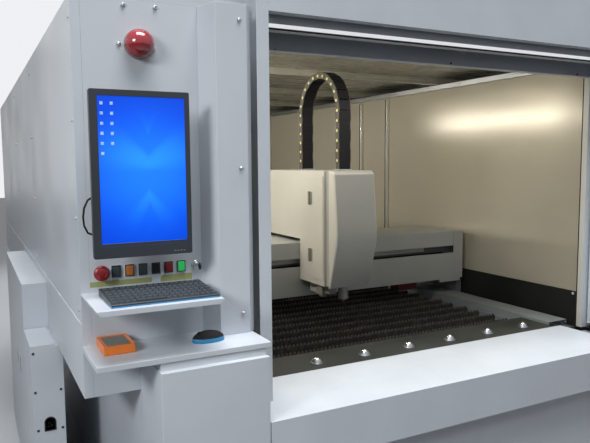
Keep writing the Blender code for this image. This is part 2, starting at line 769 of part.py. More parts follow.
def slat_outline(x):
    """Toothed upper edge and straight lower edge of one slat."""
    teeth = int((x[1] - x[0]) / TOOTH_PITCH)
    start = (x[0] + x[1] - teeth * TOOTH_PITCH) / 2
    points = [(x[0], SLAT_BASE), (x[1], SLAT_BASE), (x[1], SLAT_TIP - TOOTH_HEIGHT)]
    for index in reversed(range(teeth)):
        middle = start + (index + 0.5) * TOOTH_PITCH
        points += [(middle, SLAT_TIP), (middle - TOOTH_PITCH / 2, SLAT_TIP - TOOTH_HEIGHT)]
    if points[-1][0] - x[0] > SEAT:
        points.append((x[0], SLAT_TIP - TOOTH_HEIGHT))
    else:
        points[-1] = (x[0], SLAT_TIP - TOOTH_HEIGHT)
    return points


def build_slats():
    """Two banks of toothed slats, each standing in a comb bar at both ends."""
    reach = BEAM_INNER - BED_SIDE_GAP
    x = (BED_CENTRE - reach, BED_CENTRE + reach)
    comb_z = (LEDGE_TOP + SEAT, LEDGE_TOP + SEAT + COMB_HEIGHT)
    for bank, name in enumerate(("slat_bank_front", "slat_bank_rear")):
        first = SLAT_FRONT + bank * SLATS_PER_BANK * SLAT_PITCH
        comb_y = (first - SLAT_PITCH / 3, first + (SLATS_PER_BANK - 1) * SLAT_PITCH + SLAT_PITCH / 3)
        frame = block(name, (x[0], x[0] + COMB_WIDTH), comb_y, comb_z, "dark_steel")
        pieces = [block("comb_right", (x[1] - COMB_WIDTH, x[1]), comb_y, comb_z)]
        for index in range(SLATS_PER_BANK):
            place = first + index * SLAT_PITCH
            span = (place - SLAT_THICK / 2, place + SLAT_THICK / 2)
            pieces.append(outline("slat", "XZ", slat_outline((x[0] + 0.001, x[1] - 0.001)), span))
        join_all(frame, pieces, name + "_pieces")
    low = BEAM_BOTTOM + CROSS_HEIGHT + SEAT
    tray_x = (BED_CENTRE - BEAM_INNER + TRAY_SIDE_GAP, BED_CENTRE + BEAM_INNER - TRAY_SIDE_GAP)
    tray_y = (SLAT_FRONT, SLAT_FRONT + 2 * SLATS_PER_BANK * SLAT_PITCH - SLAT_PITCH)
    tray("scrap_tray", tray_x, tray_y, (low, low + TRAY_DEPTH), "+Z", "dark_steel")


def ball_places():
    first = BED_CENTRE - BALL_PITCH * (BALL_COUNT - 1) / 2
    return [first + BALL_PITCH * index for index in range(BALL_COUNT)]


def build_apron():
    """Dark sheet behind the sill, with the cups of the ball transfers, and the balls in them."""
    x = (BED_CENTRE - APRON_SIDE, BED_CENTRE + APRON_SIDE)
    y = (SILL_REAR + SEAT, SILL_REAR + SEAT + APRON_DEPTH)
    apron = tray("sheet_apron", x, y, (BEAM_TOP + SEAT, APRON_TOP), "-Z", "dark_steel")
    bore = BALL_RADIUS + BALL_CLEARANCE
    outer = bore + CUP_WALL
    cups = []
    bores = []
    for index, place in enumerate(ball_places()):
        rows = [
            (0, CUP_RIM),
            (outer - 0.001, CUP_RIM),
            (outer, FLANGE_TOP),
            (FLANGE_RADIUS, FLANGE_TOP),
            (FLANGE_RADIUS, APRON_TOP - SHEET / 2),
            (outer, APRON_TOP - SHEET / 2),
            (outer, CUP_BOTTOM),
            (0, CUP_BOTTOM),
        ]
        cups.append(turned("ball_cup", (place, BALL_Y, 0), (0, 0, 1), rows, steps=SMALL_ROUND))
        depth = CUP_RIM + 0.01 - BALL_SEAT
        middle = (place, BALL_Y, BALL_SEAT + depth / 2)
        bores.append(cylinder("cup_bore", middle, (0, 0, 1), bore / math.cos(math.pi / SMALL_ROUND), depth))
        centre = Vector((place, BALL_Y, BALL_SEAT + BALL_RADIUS + SEAT))
        bm = bmesh.new()
        bmesh.ops.create_uvsphere(bm, u_segments=SMALL_ROUND, v_segments=6, radius=BALL_RADIUS)
        bmesh.ops.transform(bm, matrix=Matrix.Translation(centre), verts=bm.verts)
        ball = new_object(f"transfer_ball_{index + 1}", mesh_from(bm, "ball"), "chrome_ball", centre)
        ball.data.shade_smooth()
    join(apron, *cups)
    cut(apron, *bores)


def build_portal():
    """Jambs, header tower and the two leaves of the lift door."""
    stand = SILL_TOP + SEAT
    for side, x, open_side in (
        ("left", (JAMB_LEFT, OPENING_LEFT), "-X"),
        ("right", (OPENING_RIGHT, OPENING_RIGHT + JAMB_WIDTH), "+X"),
    ):
        tray("portal_jamb_" + side, x, (0, PORTAL_DEPTH), (stand, TOWER_TOP), open_side, "white_enamel")
    line = [
        (HEADER_RETURN, OPENING_TOP),
        (0, OPENING_TOP),
        (0, TOWER_TOP),
        (PORTAL_DEPTH, TOWER_TOP),
        (PORTAL_DEPTH, INNER_BAND_BOTTOM),
        (PORTAL_DEPTH - HEADER_RETURN, INNER_BAND_BOTTOM),
    ]
    between = (OPENING_LEFT + SEAT, OPENING_RIGHT - SEAT)
    outline("portal_header", "YZ", sheet_line(line), between, "white_enamel")
    build_door()


def door_travel():
    """How far the lower leaf comes down, and how high each leaf is."""
    travel = DOOR_OPEN_BOTTOM - SILL_TOP - DOOR_FLOOR
    leaf = (OPENING_TOP - SILL_TOP) / 2 + DOOR_OVERLAP
    return travel, leaf


def build_door():
    travel, leaf = door_travel()
    x = (OPENING_LEFT + DOOR_PLAY, OPENING_RIGHT - DOOR_PLAY)
    y = (LOWER_LEAF_Y, LOWER_LEAF_Y + DOOR_LEAF)
    low = DOOR_OPEN_BOTTOM
    panel = tray("door_lower_leaf", x, y, (low + DOOR_BAR / 2, low + leaf), "+Y", "white_enamel", SHEET)
    bar_middle = (y[0] + y[1]) / 2
    bar_y = (bar_middle - DOOR_BAR_DEPTH / 2, bar_middle + DOOR_BAR_DEPTH / 2)
    join(panel, block("door_bar", (x[0] + 0.001, x[1] - 0.001), bar_y, (low, low + DOOR_BAR)))
    upper_low = SILL_TOP + DOOR_FLOOR + leaf - DOOR_OVERLAP + travel / 2
    start = bar_y[1] + LEAF_SPACE
    tray(
        "door_upper_leaf",
        x,
        (start, start + DOOR_LEAF),
        (upper_low, upper_low + leaf),
        "+Y",
        "white_enamel",
        SHEET,
    )


def build_gantry():
    """Cross beam with its trucks on the rails, and its two folded covers."""
    core_y = (BEAM_FACE + CORE_FRONT, BEAM_BACK - CORE_BACK)
    core_z = (GANTRY_BOTTOM + SHEET + SEAT, GANTRY_TOP - SHEET - SEAT)
    reach = CAP_END - SHEET - SEAT
    beam = block("gantry_beam", (BED_CENTRE - reach, BED_CENTRE + reach), core_y, core_z, "beam_grey")
    pieces = []
    for side, span in sides(RAIL_OFFSET - TRUCK_WIDTH / 2, TRUCK_WIDTH).items():
        middle = sum(core_y) / 2
        y = (middle - TRUCK_LENGTH / 2, middle + TRUCK_LENGTH / 2)
        pieces.append(block("truck_" + side, span, y, (BEAM_TOP + RAIL_HEIGHT + SEAT, BRACKET_BOTTOM)))
        neck = RAIL_OFFSET - TRUCK_WIDTH / 2 + 0.001
        inside = sides(neck, reach - neck)[side]
        neck_y = (core_y[0] + 0.04, core_y[1] - 0.04)
        pieces.append(block("truck_neck_" + side, inside, neck_y, (BRACKET_BOTTOM - 0.02, core_z[0] + 0.02)))
    for place in (SLOT_BOTTOM - 0.055, SLOT_TOP + 0.020):
        y = (core_y[0] - 0.014, core_y[0] + 0.010)
        x = (BED_CENTRE - COVER_END, BED_CENTRE + COVER_END)
        pieces.append(block("cross_rail", x, y, (place, place + 0.020)))
    join_all(beam, pieces, "gantry_pieces")
    span = (BED_CENTRE - COVER_END, BED_CENTRE + COVER_END)
    upper = [
        (BEAM_FACE + 0.012, SLOT_TOP),
        (BEAM_FACE, SLOT_TOP),
        (BEAM_FACE, GANTRY_TOP),
        (BEAM_BACK, GANTRY_TOP),
        (BEAM_BACK, SLOT_TOP),
    ]
    top_span = (span[0] + SEAM, span[1] - SEAM)
    outline("beam_upper_cover", "YZ", sheet_line(upper), top_span, "beam_grey")
    lower = [
        (BEAM_BACK, SLOT_TOP - SEAM),
        (BEAM_BACK, GANTRY_BOTTOM),
        (BEAM_FACE, GANTRY_BOTTOM),
        (BEAM_FACE, SLOT_BOTTOM),
        (BEAM_FACE + 0.012, SLOT_BOTTOM),
    ]
    cover = outline("beam_lower_cover", "YZ", sheet_line(lower), span, "beam_grey")
    caps = []
    slots = []
    for side, x in sides(COVER_END - 0.001, CAP_END - COVER_END + 0.001).items():
        open_side = "+X" if side == "left" else "-X"
        cap_z = (GANTRY_BOTTOM, GANTRY_TOP)
        caps.append(tray("end_cap_" + side, x, (BEAM_FACE - 0.001, BEAM_BACK + 0.001), cap_z, open_side))
        inside = (x[0] - SEAM, x[1] - SHEET) if side == "right" else (x[0] + SHEET, x[1] + SEAM)
        above = (SLOT_TOP - SEAM, GANTRY_TOP - SHEET)
        slots.append(block("cap_room", inside, (BEAM_FACE + 0.002, BEAM_BACK - 0.002), above))
        gap = RAIL_OFFSET - TRUCK_WIDTH / 2 - 0.004
        neck = sides(gap, CAP_END - SHEET - gap)[side]
        gap_y = (core_y[0] + 0.03, core_y[1] - 0.03)
        slots.append(block("truck_gap", neck, gap_y, (BRACKET_BOTTOM - 0.010, GANTRY_BOTTOM + 0.015)))
    for side, x in sides(BRACKET_START, BRACKET_END - BRACKET_START).items():
        caps.append(block("end_bracket_" + side, x, (BEAM_FACE, BEAM_FACE + 0.020), (BRACKET_BOTTOM, GANTRY_BOTTOM + 0.002)))
    join(cover, *caps)
    cut(cover, *slots)


def build_carriage():
    """Cross carriage: a plate on the beam's rails, an arm through the slot and the tower of the Z axis."""
    face = BEAM_FACE + CORE_FRONT - 0.014 - SEAT
    middle = NOZZLE_X
    half = SLIDE_WIDTH / 2
    inner_z = (SLOT_BOTTOM - 0.070, GANTRY_TOP - 0.030)
    carriage = block("x_carriage", (middle - 0.10, middle + 0.10), (face - 0.016, face), inner_z, "base_grey")
    arm_z = (SLOT_BOTTOM + 0.006, SLOT_TOP - 0.006)
    plate_y = (BEAM_FACE - 0.045, BEAM_FACE - 0.025)
    arm = block("carriage_arm", (middle - half, middle + half), (plate_y[0] + 0.005, face - 0.008), arm_z)
    tower_z = (HEAD_BOTTOM + 0.030, HEAD_TOP - HEAD_WALL - SEAT)
    tower = block("z_tower", (middle - half + 0.002, middle + half - 0.002), plate_y, tower_z)
    cap_x = (HEAD_LEFT + HEAD_WALL + SEAT, HEAD_RIGHT - HEAD_WALL - SEAT)
    cap = block("cover_mount", cap_x, (plate_y[0] - 0.02, HEAD_BACK - 0.06), (tower_z[1] - 0.012, tower_z[1] - 0.0001))
    join(carriage, arm, tower, cap)
    build_head_covers()
    build_chain()
    build_z_axis(plate_y[0])


def build_head_covers():
    """Head housing: rear cover with the side door's opening, hinged side door and bulging front cover."""
    x = (HEAD_LEFT, HEAD_RIGHT)
    room_x = (x[0] + HEAD_WALL, x[1] - HEAD_WALL)
    back = BEAM_FACE - SEAM
    profile = [
        (HEAD_SEAM_Y, HEAD_BOTTOM),
        (back, HEAD_BOTTOM),
        (back, HEAD_BACK_BOTTOM),
        (HEAD_BACK, HEAD_BACK_BOTTOM),
        (HEAD_BACK, HEAD_TOP),
        (HEAD_SEAM_Y, HEAD_TOP),
    ]
    rear = outline("head_rear_cover", "YZ", profile, x, "head_cream")
    room = block("head_room", room_x, (HEAD_SEAM_Y + HEAD_WALL, back + 0.01), (HEAD_BOTTOM - 0.01, HEAD_TOP - HEAD_WALL))
    inset = CHANNEL_DEPTH + HEAD_WALL
    way_z = (HEAD_BOTTOM - 0.01, HEAD_TOP - CHANNEL_TOP - HEAD_WALL)
    way = block("front_way", (x[0] + inset, x[1] - inset), (HEAD_SEAM_Y - 0.01, HEAD_SEAM_Y + 0.01), way_z)
    loft_z = (HEAD_BACK_BOTTOM + HEAD_WALL, HEAD_TOP - HEAD_WALL)
    loft = block("head_loft", room_x, (back - 0.01, HEAD_BACK - HEAD_WALL), loft_z)
    door_z = (HEAD_BOTTOM + SIDE_DOOR_MARGIN, HEAD_TOP - SIDE_DOOR_MARGIN)
    hatch_y = (SIDE_DOOR_FRONT + 0.012, SIDE_DOOR_REAR - 0.012)
    hatch_z = (door_z[0] + 0.012, door_z[1] - 0.012)
    hatch = block("door_hatch", (x[0] - 0.01, room_x[0] + 0.001), hatch_y, hatch_z)
    cut(rear, room, way, loft, hatch)
    build_side_door(door_z)
    build_front_cover(x)


def build_side_door(door_z):
    """Service door on the head's left side, with its hinge barrels on its rear edge."""
    skin = (HEAD_LEFT - SEAT - SIDE_DOOR_THICK, HEAD_LEFT - SEAT)
    axis = (HEAD_LEFT - 2 * SEAT - HINGE_RADIUS, SIDE_DOOR_REAR, 0)
    door = block("head_side_door", skin, (SIDE_DOOR_FRONT, SIDE_DOOR_REAR), door_z, "head_cream", axis)
    barrels = []
    for height in HINGE_HEIGHTS:
        centre = (axis[0], axis[1], height)
        barrels.append(cylinder("hinge_barrel", centre, (0, 0, 1), HINGE_RADIUS, HINGE_LENGTH))
        leaf_y = (SIDE_DOOR_REAR - 0.022, SIDE_DOOR_REAR + 0.002)
        leaf_z = (height - HINGE_LENGTH / 2 + 0.001, height + HINGE_LENGTH / 2 - 0.001)
        barrels.append(block("hinge_leaf", (skin[0] - 0.002, skin[0] + 0.001), leaf_y, leaf_z))
    join(door, *barrels)


def build_front_cover(x):
    """Front shell with its crease, rounded top and the recessed channel behind it."""
    crease = FRONT_CREASE
    corner = (FRONT_TOP_Y + FRONT_ROUND, HEAD_TOP - FRONT_ROUND)
    profile = [(CHANNEL_FRONT, HEAD_BOTTOM), (CHANNEL_FRONT, HEAD_TOP)]
    profile += arc(corner, FRONT_ROUND, 90, 180, 4)
    profile += [crease, (FRONT_BOTTOM_Y, HEAD_BOTTOM)]
    shell = outline("head_front_cover", "YZ", profile, x, "head_cream")
    neck_x = (x[0] + CHANNEL_DEPTH, x[1] - CHANNEL_DEPTH)
    neck_y = (CHANNEL_FRONT - 0.004, HEAD_SEAM_Y - SEAT)
    neck = block("channel", neck_x, neck_y, (HEAD_BOTTOM + 0.001, HEAD_TOP - CHANNEL_TOP))
    room = [
        (HEAD_SEAM_Y + 0.01, HEAD_BOTTOM - 0.01),
        (HEAD_SEAM_Y + 0.01, HEAD_TOP - CHANNEL_TOP - HEAD_WALL),
        (corner[0], HEAD_TOP - CHANNEL_TOP - HEAD_WALL),
        (FRONT_TOP_Y + HEAD_WALL * 2, corner[1] - HEAD_WALL),
        (crease[0] + HEAD_WALL, crease[1]),
        (FRONT_BOTTOM_Y + HEAD_WALL, HEAD_BOTTOM - 0.01),
    ]
    inside = (neck_x[0] + HEAD_WALL, neck_x[1] - HEAD_WALL)
    cut(join(shell, neck), outline("front_room", "YZ", room, inside))


def build_chain():
    """Cable chain loop over the head: links notched inside and outside, on two feet."""
    foot = HEAD_TOP + SEAT
    centre = (CHAIN_FRONT_Y + CHAIN_RADIUS, CHAIN_SPRING)
    inner = CHAIN_RADIUS - CHAIN_HEIGHT / 2
    outer = CHAIN_RADIUS + CHAIN_HEIGHT / 2

    def band(radius, notch):
        """One edge of the chain from the front foot over the bend to the rear foot."""
        points = []
        link = (CHAIN_SPRING - foot) / CHAIN_LINKS_LEG
        gap = 0.12
        for index in range(CHAIN_LINKS_LEG):
            low = foot + index * link
            for share, depth in ((gap, 0), (1 - gap, 0), (1 - gap, notch), (1 + gap, notch)):
                points.append((180.0, low + share * link, radius + depth))
        turn = 180.0 / CHAIN_LINKS_BEND
        bend = []
        for index in range(CHAIN_LINKS_BEND):
            start = 180.0 - index * turn
            for share, depth in ((gap, 0), (1 - gap, 0), (1 - gap, notch), (1 + gap, notch)):
                bend.append((start - share * turn, None, radius + depth))
        found = [(centre[0] - r, z) for _, z, r in points[:-1]]
        for angle, _, r in bend[:-1]:
            a = math.radians(angle)
            found.append((centre[0] + r * math.cos(a), centre[1] + r * math.sin(a)))
        found += [(centre[0] + r, z) for _, z, r in reversed(points[:-1])]
        return found

    def footed(edge, step):
        """An edge with the step of the foot at both its ends. step is positive for the outer edge."""
        front, rear = edge[0][0], edge[-1][0]
        top = foot + CHAIN_FOOT
        low = [(front - step, foot), (front - step, top), (front, top)]
        return low + edge[1:-1] + [(rear, top), (rear + step, top), (rear + step, foot)]

    x = (NOZZLE_X - CHAIN_WIDTH / 2, NOZZLE_X + CHAIN_WIDTH / 2)
    points = footed(band(outer, -CHAIN_NOTCH), CHAIN_FOOT / 2)
    points += reversed(footed(band(inner, CHAIN_NOTCH), -CHAIN_FOOT / 2))
    outline("z_cable_chain", "YZ", points, x, "chain_black")


def build_z_axis(tower_front):
    """Z slide on the tower, and the cutting head that it carries."""
    half = SLIDE_WIDTH / 2
    front = tower_front - SEAT
    x = (NOZZLE_X - half, NOZZLE_X + half)
    slide = block("z_slide", x, (front - 0.030, front), (0.985, 1.380), "bright_steel")
    arm_y = (NOZZLE_Y + HEAD_RADIUS + SEAT, front - 0.010)
    arm = block("head_arm", (x[0] + 0.02, x[1] - 0.02), arm_y, (1.090, 1.300))
    lower = block("sensor_housing", (x[0] - 0.030, x[0] + 0.060), (front - 0.105, front - 0.020), (0.886, 0.995))
    join(slide, arm, lower)
    rows = [
        (0, 1.340),
        (0.018, 1.340),
        (0.018, 1.310),
        (HEAD_RADIUS, 1.310),
        (HEAD_RADIUS, 1.080),
        (0.034, 1.065),
        (0.034, 0.985),
        (0.026, 0.970),
        (0.026, 0.915),
        (0.016, 0.895),
        (0.013, 0.872),
        (0.004, NOZZLE_TIP),
        (0, NOZZLE_TIP),
    ]
    turned("cutting_head", (NOZZLE_X, NOZZLE_Y, 0), (0, 0, 1), rows, "beam_grey", steps=16)


def build_console():
    """Console panel with its controls, pillar, shelves, cabinet and the things on the shelves."""
    x = (PANEL_FOLD + SEAT, CONSOLE_RIGHT)
    y = (CONSOLE_Y, CONSOLE_Y + PANEL_FOLD)
    panel = tray("console_panel", x, y, (ENCLOSURE_BOTTOM, ENCLOSURE_TOP), "+Y", "white_enamel")
    rings = []
    holes = []
    for place in button_places():
        bezel = BUTTON_WIDTH / 2, BUTTON_HEIGHT / 2
        ring_x = (place - bezel[0], place + bezel[0])
        ring_z = (CONTROL_Z - bezel[1], CONTROL_Z + bezel[1])
        rings.append(block("button_bezel", ring_x, (y[0] - 0.004, y[0] + 0.001), ring_z))
        room = BUTTON_BEZEL - SEAT
        hole_x = (ring_x[0] + room, ring_x[1] - room)
        holes.append(block("button_hole", hole_x, (y[0] - 0.01, y[0] + 0.01), (ring_z[0] + room, ring_z[1] - room)))
    collar = ESTOP_STEM + 0.008
    rings.append(cylinder("estop_collar", (ESTOP_X, y[0] - 0.0035, CONTROL_Z), (0, -1, 0), collar, 0.009))
    holes.append(cylinder("estop_hole", (ESTOP_X, y[0], CONTROL_Z), (0, -1, 0), ESTOP_STEM + SEAT * 2, 0.04))
    rings.append(cylinder("key_collar", (KEY_X, y[0] - 0.003, CONTROL_Z), (0, -1, 0), KEY_BARREL + 0.004, 0.008))
    holes.append(cylinder("key_hole", (KEY_X, y[0], CONTROL_Z), (0, -1, 0), KEY_BARREL + SEAT * 2, 0.04))
    join(panel, *rings)
    cut(panel, *holes)
    build_controls(y[0])
    build_monitor()
    build_pillar()
    build_shelves()
    build_cabinets()
    build_loose_pieces()


def button_places():
    return [BUTTON_FIRST + BUTTON_PITCH * index for index in range(BUTTON_COUNT)]


def build_controls(face):
    """Six push buttons, emergency stop, key and red beacon."""
    lenses = ("teal_lens", "amber_lens", "black_plastic", "black_plastic", "signal_red", "green_lens")
    half = (BUTTON_WIDTH / 2 - BUTTON_BEZEL, BUTTON_HEIGHT / 2 - BUTTON_BEZEL)
    for index, (place, lens) in enumerate(zip(button_places(), lenses)):
        spans = ((place - half[0], place + half[0]), (CONTROL_Z - half[1], CONTROL_Z + half[1]))
        y = (face - BUTTON_OUT, face + CONTROL_DEPTH)
        block(f"push_button_{index + 1}", spans[0], y, spans[1], lens, (place, face, CONTROL_Z))
    rows = [
        (0, ESTOP_OUT),
        (ESTOP_RADIUS * 0.75, ESTOP_OUT - 0.001),
        (ESTOP_RADIUS, ESTOP_OUT - 0.007),
        (ESTOP_RADIUS, ESTOP_OUT - 0.015),
        (ESTOP_STEM, ESTOP_OUT - 0.019),
        (ESTOP_STEM, -CONTROL_DEPTH),
        (0, -CONTROL_DEPTH),
    ]
    turned("estop_button", (ESTOP_X, face, CONTROL_Z), (0, -1, 0), rows, "signal_red", steps=20)
    key = cylinder("console_key", (KEY_X, face, CONTROL_Z), (0, -1, 0), KEY_BARREL, 2 * KEY_OUT, "bright_steel", 16)
    blade = block("key_bow", (KEY_X - 0.0015, KEY_X + 0.0015), (face - 0.052, face - KEY_OUT + 0.004), (CONTROL_Z - 0.012, CONTROL_Z + 0.012))
    join(key, blade)
    low = BEACON_RADIUS * 0.30
    rows = [(0, low + BEACON_RADIUS)]
    rows += [(r, low + h) for r, h in arc((0, 0), BEACON_RADIUS, 75, 0, 5)]
    rows += [(BEACON_RADIUS, SEAT), (0, SEAT)]
    turned("beacon_dome", (BEACON_X, face, BEACON_Z), (0, -1, 0), rows, "signal_red", steps=ROUND)


def build_monitor():
    """Upright screen on a stand-off bracket in front of the console panel."""
    x = (MONITOR_X, MONITOR_X + MONITOR_WIDTH)
    z = (MONITOR_Z, MONITOR_Z + MONITOR_HEIGHT)
    y = (MONITOR_FRONT, MONITOR_FRONT + MONITOR_THICK)
    monitor = block("monitor", x, y, z, "black_plastic")
    screen_x = (x[0] + MONITOR_BEZEL, x[1] - MONITOR_BEZEL)
    screen_z = (z[0] + MONITOR_CHIN, z[1] - MONITOR_CHIN)
    middle = (sum(x) / 2, sum(z) / 2)
    hump_x = (middle[0] - MONITOR_WIDTH * 0.30, middle[0] + MONITOR_WIDTH * 0.30)
    hump_z = (middle[1] - MONITOR_HEIGHT * 0.30, middle[1] + MONITOR_HEIGHT * 0.30)
    hump = block("monitor_hump", hump_x, (y[1] - 0.004, y[1] + 0.022), hump_z)
    mount_z = (middle[1] - 0.05, middle[1] + 0.05)
    mount = block("monitor_mount", (middle[0] - 0.05, middle[0] + 0.05), (y[1] + 0.018, CONSOLE_Y - SEAT), mount_z)
    join(monitor, hump, mount)
    cut(monitor, block("screen_recess", screen_x, (y[0] - 0.01, y[0] + 0.002), screen_z))


def build_pillar():
    """Folded pillar between the console panel and the door portal, standing on the lower shelf."""
    flange_y = PILLAR_Y + PILLAR_BEVEL
    line = [
        (PILLAR_FLANGE, PILLAR_DEPTH),
        (PILLAR_FLANGE, flange_y),
        (PILLAR_RIGHT, PILLAR_Y),
        (PILLAR_LEFT, PILLAR_Y),
        (CONSOLE_RIGHT + SEAT, CONSOLE_Y),
        (CONSOLE_RIGHT + SEAT, CONSOLE_Y + PANEL_FOLD),
    ]
    outline("console_pillar", "XY", sheet_line(line), (MOUSE_SHELF_TOP + SEAT, ENCLOSURE_TOP), "white_enamel")


def build_shelves():
    """Keyboard shelf with mitred lip ends, and the wide lower shelf."""
    back = CONSOLE_Y - SEAT
    upper = tray(
        "keyboard_shelf",
        (0, KEYBOARD_SHELF_RIGHT),
        (KEYBOARD_SHELF_FRONT, back),
        (KEYBOARD_SHELF_TOP - SHELF_LIP, KEYBOARD_SHELF_TOP),
        "-Z",
        "white_enamel",
    )
    mitres = []
    low = KEYBOARD_SHELF_TOP - SHELF_LIP - SEAM
    for end, step in ((0, 1), (KEYBOARD_SHELF_RIGHT, -1)):
        corner = [
            (end - step * SEAM, low),
            (end + step * MITRE, low),
            (end - step * SEAM, KEYBOARD_SHELF_TOP - SHEET),
        ]
        span = (KEYBOARD_SHELF_FRONT - SEAM, back + SEAM)
        mitres.append(outline("shelf_mitre", "XZ", corner if step > 0 else list(reversed(corner)), span))
    cut(upper, *mitres)
    tray(
        "mouse_shelf",
        (0, MOUSE_SHELF_RIGHT),
        (MOUSE_SHELF_FRONT, back),
        (MOUSE_SHELF_TOP - SHELF_LIP, MOUSE_SHELF_TOP),
        "-Z",
        "white_enamel",
    )


def build_cabinets():
    """Cabinet under the console, and the plain front to the right of the opening."""
    back = CONSOLE_Y - SEAT
    top = MOUSE_SHELF_TOP - SHELF_LIP - SEAT
    cabinet = tray(
        "console_cabinet",
        (LOWER_LEFT, CABINET_RIGHT),
        (SILL_FRONT, back),
        (FLOOR_GAP, top - CABINET_STEP),
        "-Z",
        "white_enamel",
    )
    neck = (LOWER_LEFT + 0.004, CABINET_RIGHT - 0.004)
    neck_y = (SILL_FRONT + 0.020, back - 0.004)
    join(cabinet, block("cabinet_neck", neck, neck_y, (top - CABINET_STEP - 0.002, top)))
    front = tray(
        "right_front_panel",
        (OPENING_RIGHT + JAMB_WIDTH + SEAM, ENCLOSURE_RIGHT - PANEL_FOLD - SEAT),
        (CONSOLE_Y, CONSOLE_Y + PANEL_FOLD),
        (ENCLOSURE_BOTTOM, ENCLOSURE_TOP),
        "+Y",
        "white_enamel",
    )
    lower = tray(
        "right_cabinet",
        (SILL_RIGHT + SEAM, LOWER_RIGHT),
        (SILL_FRONT, CONSOLE_Y + SHEET / 2),
        (FLOOR_GAP, ENCLOSURE_BOTTOM + SHEET / 2),
        "-Z",
    )
    room = block(
        "right_cabinet_room",
        (SILL_RIGHT + SEAM + SHEET, LOWER_RIGHT - SHEET),
        (CONSOLE_Y - SHEET, CONSOLE_Y + 0.02),
        (FLOOR_GAP - 0.01, ENCLOSURE_BOTTOM - 0.01),
    )
    cut(join(front, lower), room)


def build_loose_pieces():
    """Keyboard, mouse and handheld pendant that rest on the shelves."""
    stand = KEYBOARD_SHELF_TOP + SEAT
    kx, ky, length, depth = KEYBOARD
    side = [
        (ky, stand),
        (ky + depth, stand),
        (ky + depth, stand + KEYBOARD_THICK + KEYBOARD_RISE),
        (ky, stand + KEYBOARD_THICK),
    ]
    keyboard = outline("keyboard", "YZ", side, (kx, kx + length), "black_plastic")
    soften(keyboard, 0.004)
    lower = MOUSE_SHELF_TOP + SEAT
    mx, my, mouse_length, mouse_width = MOUSE
    bm = bmesh.new()
    bmesh.ops.create_uvsphere(bm, u_segments=20, v_segments=10, radius=1.0)
    size = (mouse_length / 2, mouse_width / 2, MOUSE_HEIGHT, 1)
    bmesh.ops.transform(bm, matrix=Matrix.Translation((mx, my, lower)) @ Matrix.Diagonal(size), verts=bm.verts)
    mouse = new_object("mouse", mesh_from(bm, "mouse"), "black_plastic")
    under = (mx - mouse_length, mx + mouse_length)
    cut(mouse, block("mouse_sole", under, (my - mouse_width, my + mouse_width), (lower - 0.1, lower)))
    px, py, width, reach = PENDANT
    pendant = block("pendant", (px, px + width), (py, py + reach), (lower, lower + PENDANT_HEIGHT), "pendant_orange")
    soften(pendant, 0.006)


def soften(item, width):
    bevel = item.modifiers.new("edges", "BEVEL")
    bevel.width = width
    bevel.segments = 2
    bevel.limit_method = "ANGLE"


def build_service_box():
    """Slim box on the floor along the left side: a low front part with an arched cable opening, and a taller rear part."""
    under = ENCLOSURE_BOTTOM - SEAT
    front = (SERVICE_FRONT, SERVICE_FRONT + SERVICE_LENGTH)
    rear = (front[1] + SERVICE_GAP, front[1] + SERVICE_GAP + SERVICE_REAR_LENGTH)

    def profile(shoulder, top):
        """Section of a part of the box: its top stands up beside the side panels."""
        return [
            (SERVICE_LEFT, 0),
            (SERVICE_RIGHT, 0),
            (SERVICE_RIGHT, under),
            (shoulder, under),
            (shoulder, top),
            (SERVICE_LEFT, top),
        ]

    body = outline("service_box", "XZ", profile(SERVICE_SHOULDER, SERVICE_TOP), front, "white_enamel")
    tall = outline("service_rear", "XZ", profile(-SEAT, SERVICE_REAR_TOP), rear)
    bridge = block(
        "service_bridge",
        (SERVICE_LEFT + 0.001, SERVICE_RIGHT - 0.001),
        (front[1] - SHEET, rear[0] + SHEET),
        (0.001, under - SERVICE_GAP),
    )
    join(body, tall, bridge)
    inside = (SERVICE_LEFT + SHEET, SERVICE_RIGHT - SHEET)
    room = block("service_room", inside, (front[0] + SHEET, rear[1] - SHEET), (-0.01, under - SERVICE_GAP - SHEET))
    attic_x = (SERVICE_LEFT + SHEET, -SEAT - SHEET)
    attic = block("service_attic", attic_x, (rear[0] + SHEET, rear[1] - SHEET), (0.5, SERVICE_REAR_TOP - SHEET))
    low = SERVICE_ARCH_BOTTOM
    radius = SERVICE_ARCH_WIDTH / 2
    rise = low + SERVICE_ARCH_HEIGHT - radius
    middle = SERVICE_ARCH_X
    shape = [(middle - radius, low), (middle + radius, low)] + arc((middle, rise), radius, 0, 180, 8)
    arch = outline("cable_arch", "XZ", shape, (front[0] - 0.01, front[0] + 0.01))
    slots = []
    for y in (1.43, 1.62):
        slots.append(block("vent", (SERVICE_LEFT - 0.01, SERVICE_LEFT + 0.01), (y, y + 0.06), (0.54, 0.62)))
    gap_x = (SERVICE_LEFT + SERVICE_FOOT, SERVICE_RIGHT - SERVICE_FOOT)
    gap = block("foot_gap", gap_x, (front[0] - 0.01, rear[1] + 0.01), (-0.01, SERVICE_FOOT))
    cut(body, room, attic, arch, *slots, gap)


def build_laser_source():
    """Laser source on the outriggers of the left bay, with cooling fins on its top."""
    width, length, height = LASER_SIZE
    left = PANEL_FOLD + SEAM + SHEET
    low = OUTRIGGER_TOP + SEAT
    x = (left, left + width)
    y = (LASER_Y, LASER_Y + length)
    source = block("laser_source", x, y, (low, low + height), "black_plastic")
    fins = []
    for place in spread(y[0] + 0.04, y[1] - 0.04, LASER_FINS):
        span = (place - 0.006, place + 0.006)
        fins.append(block("fin_groove", (x[0] + 0.02, x[1] - 0.02), span, (low + height - 0.012, low + height + 0.01)))
    cut(source, *fins)


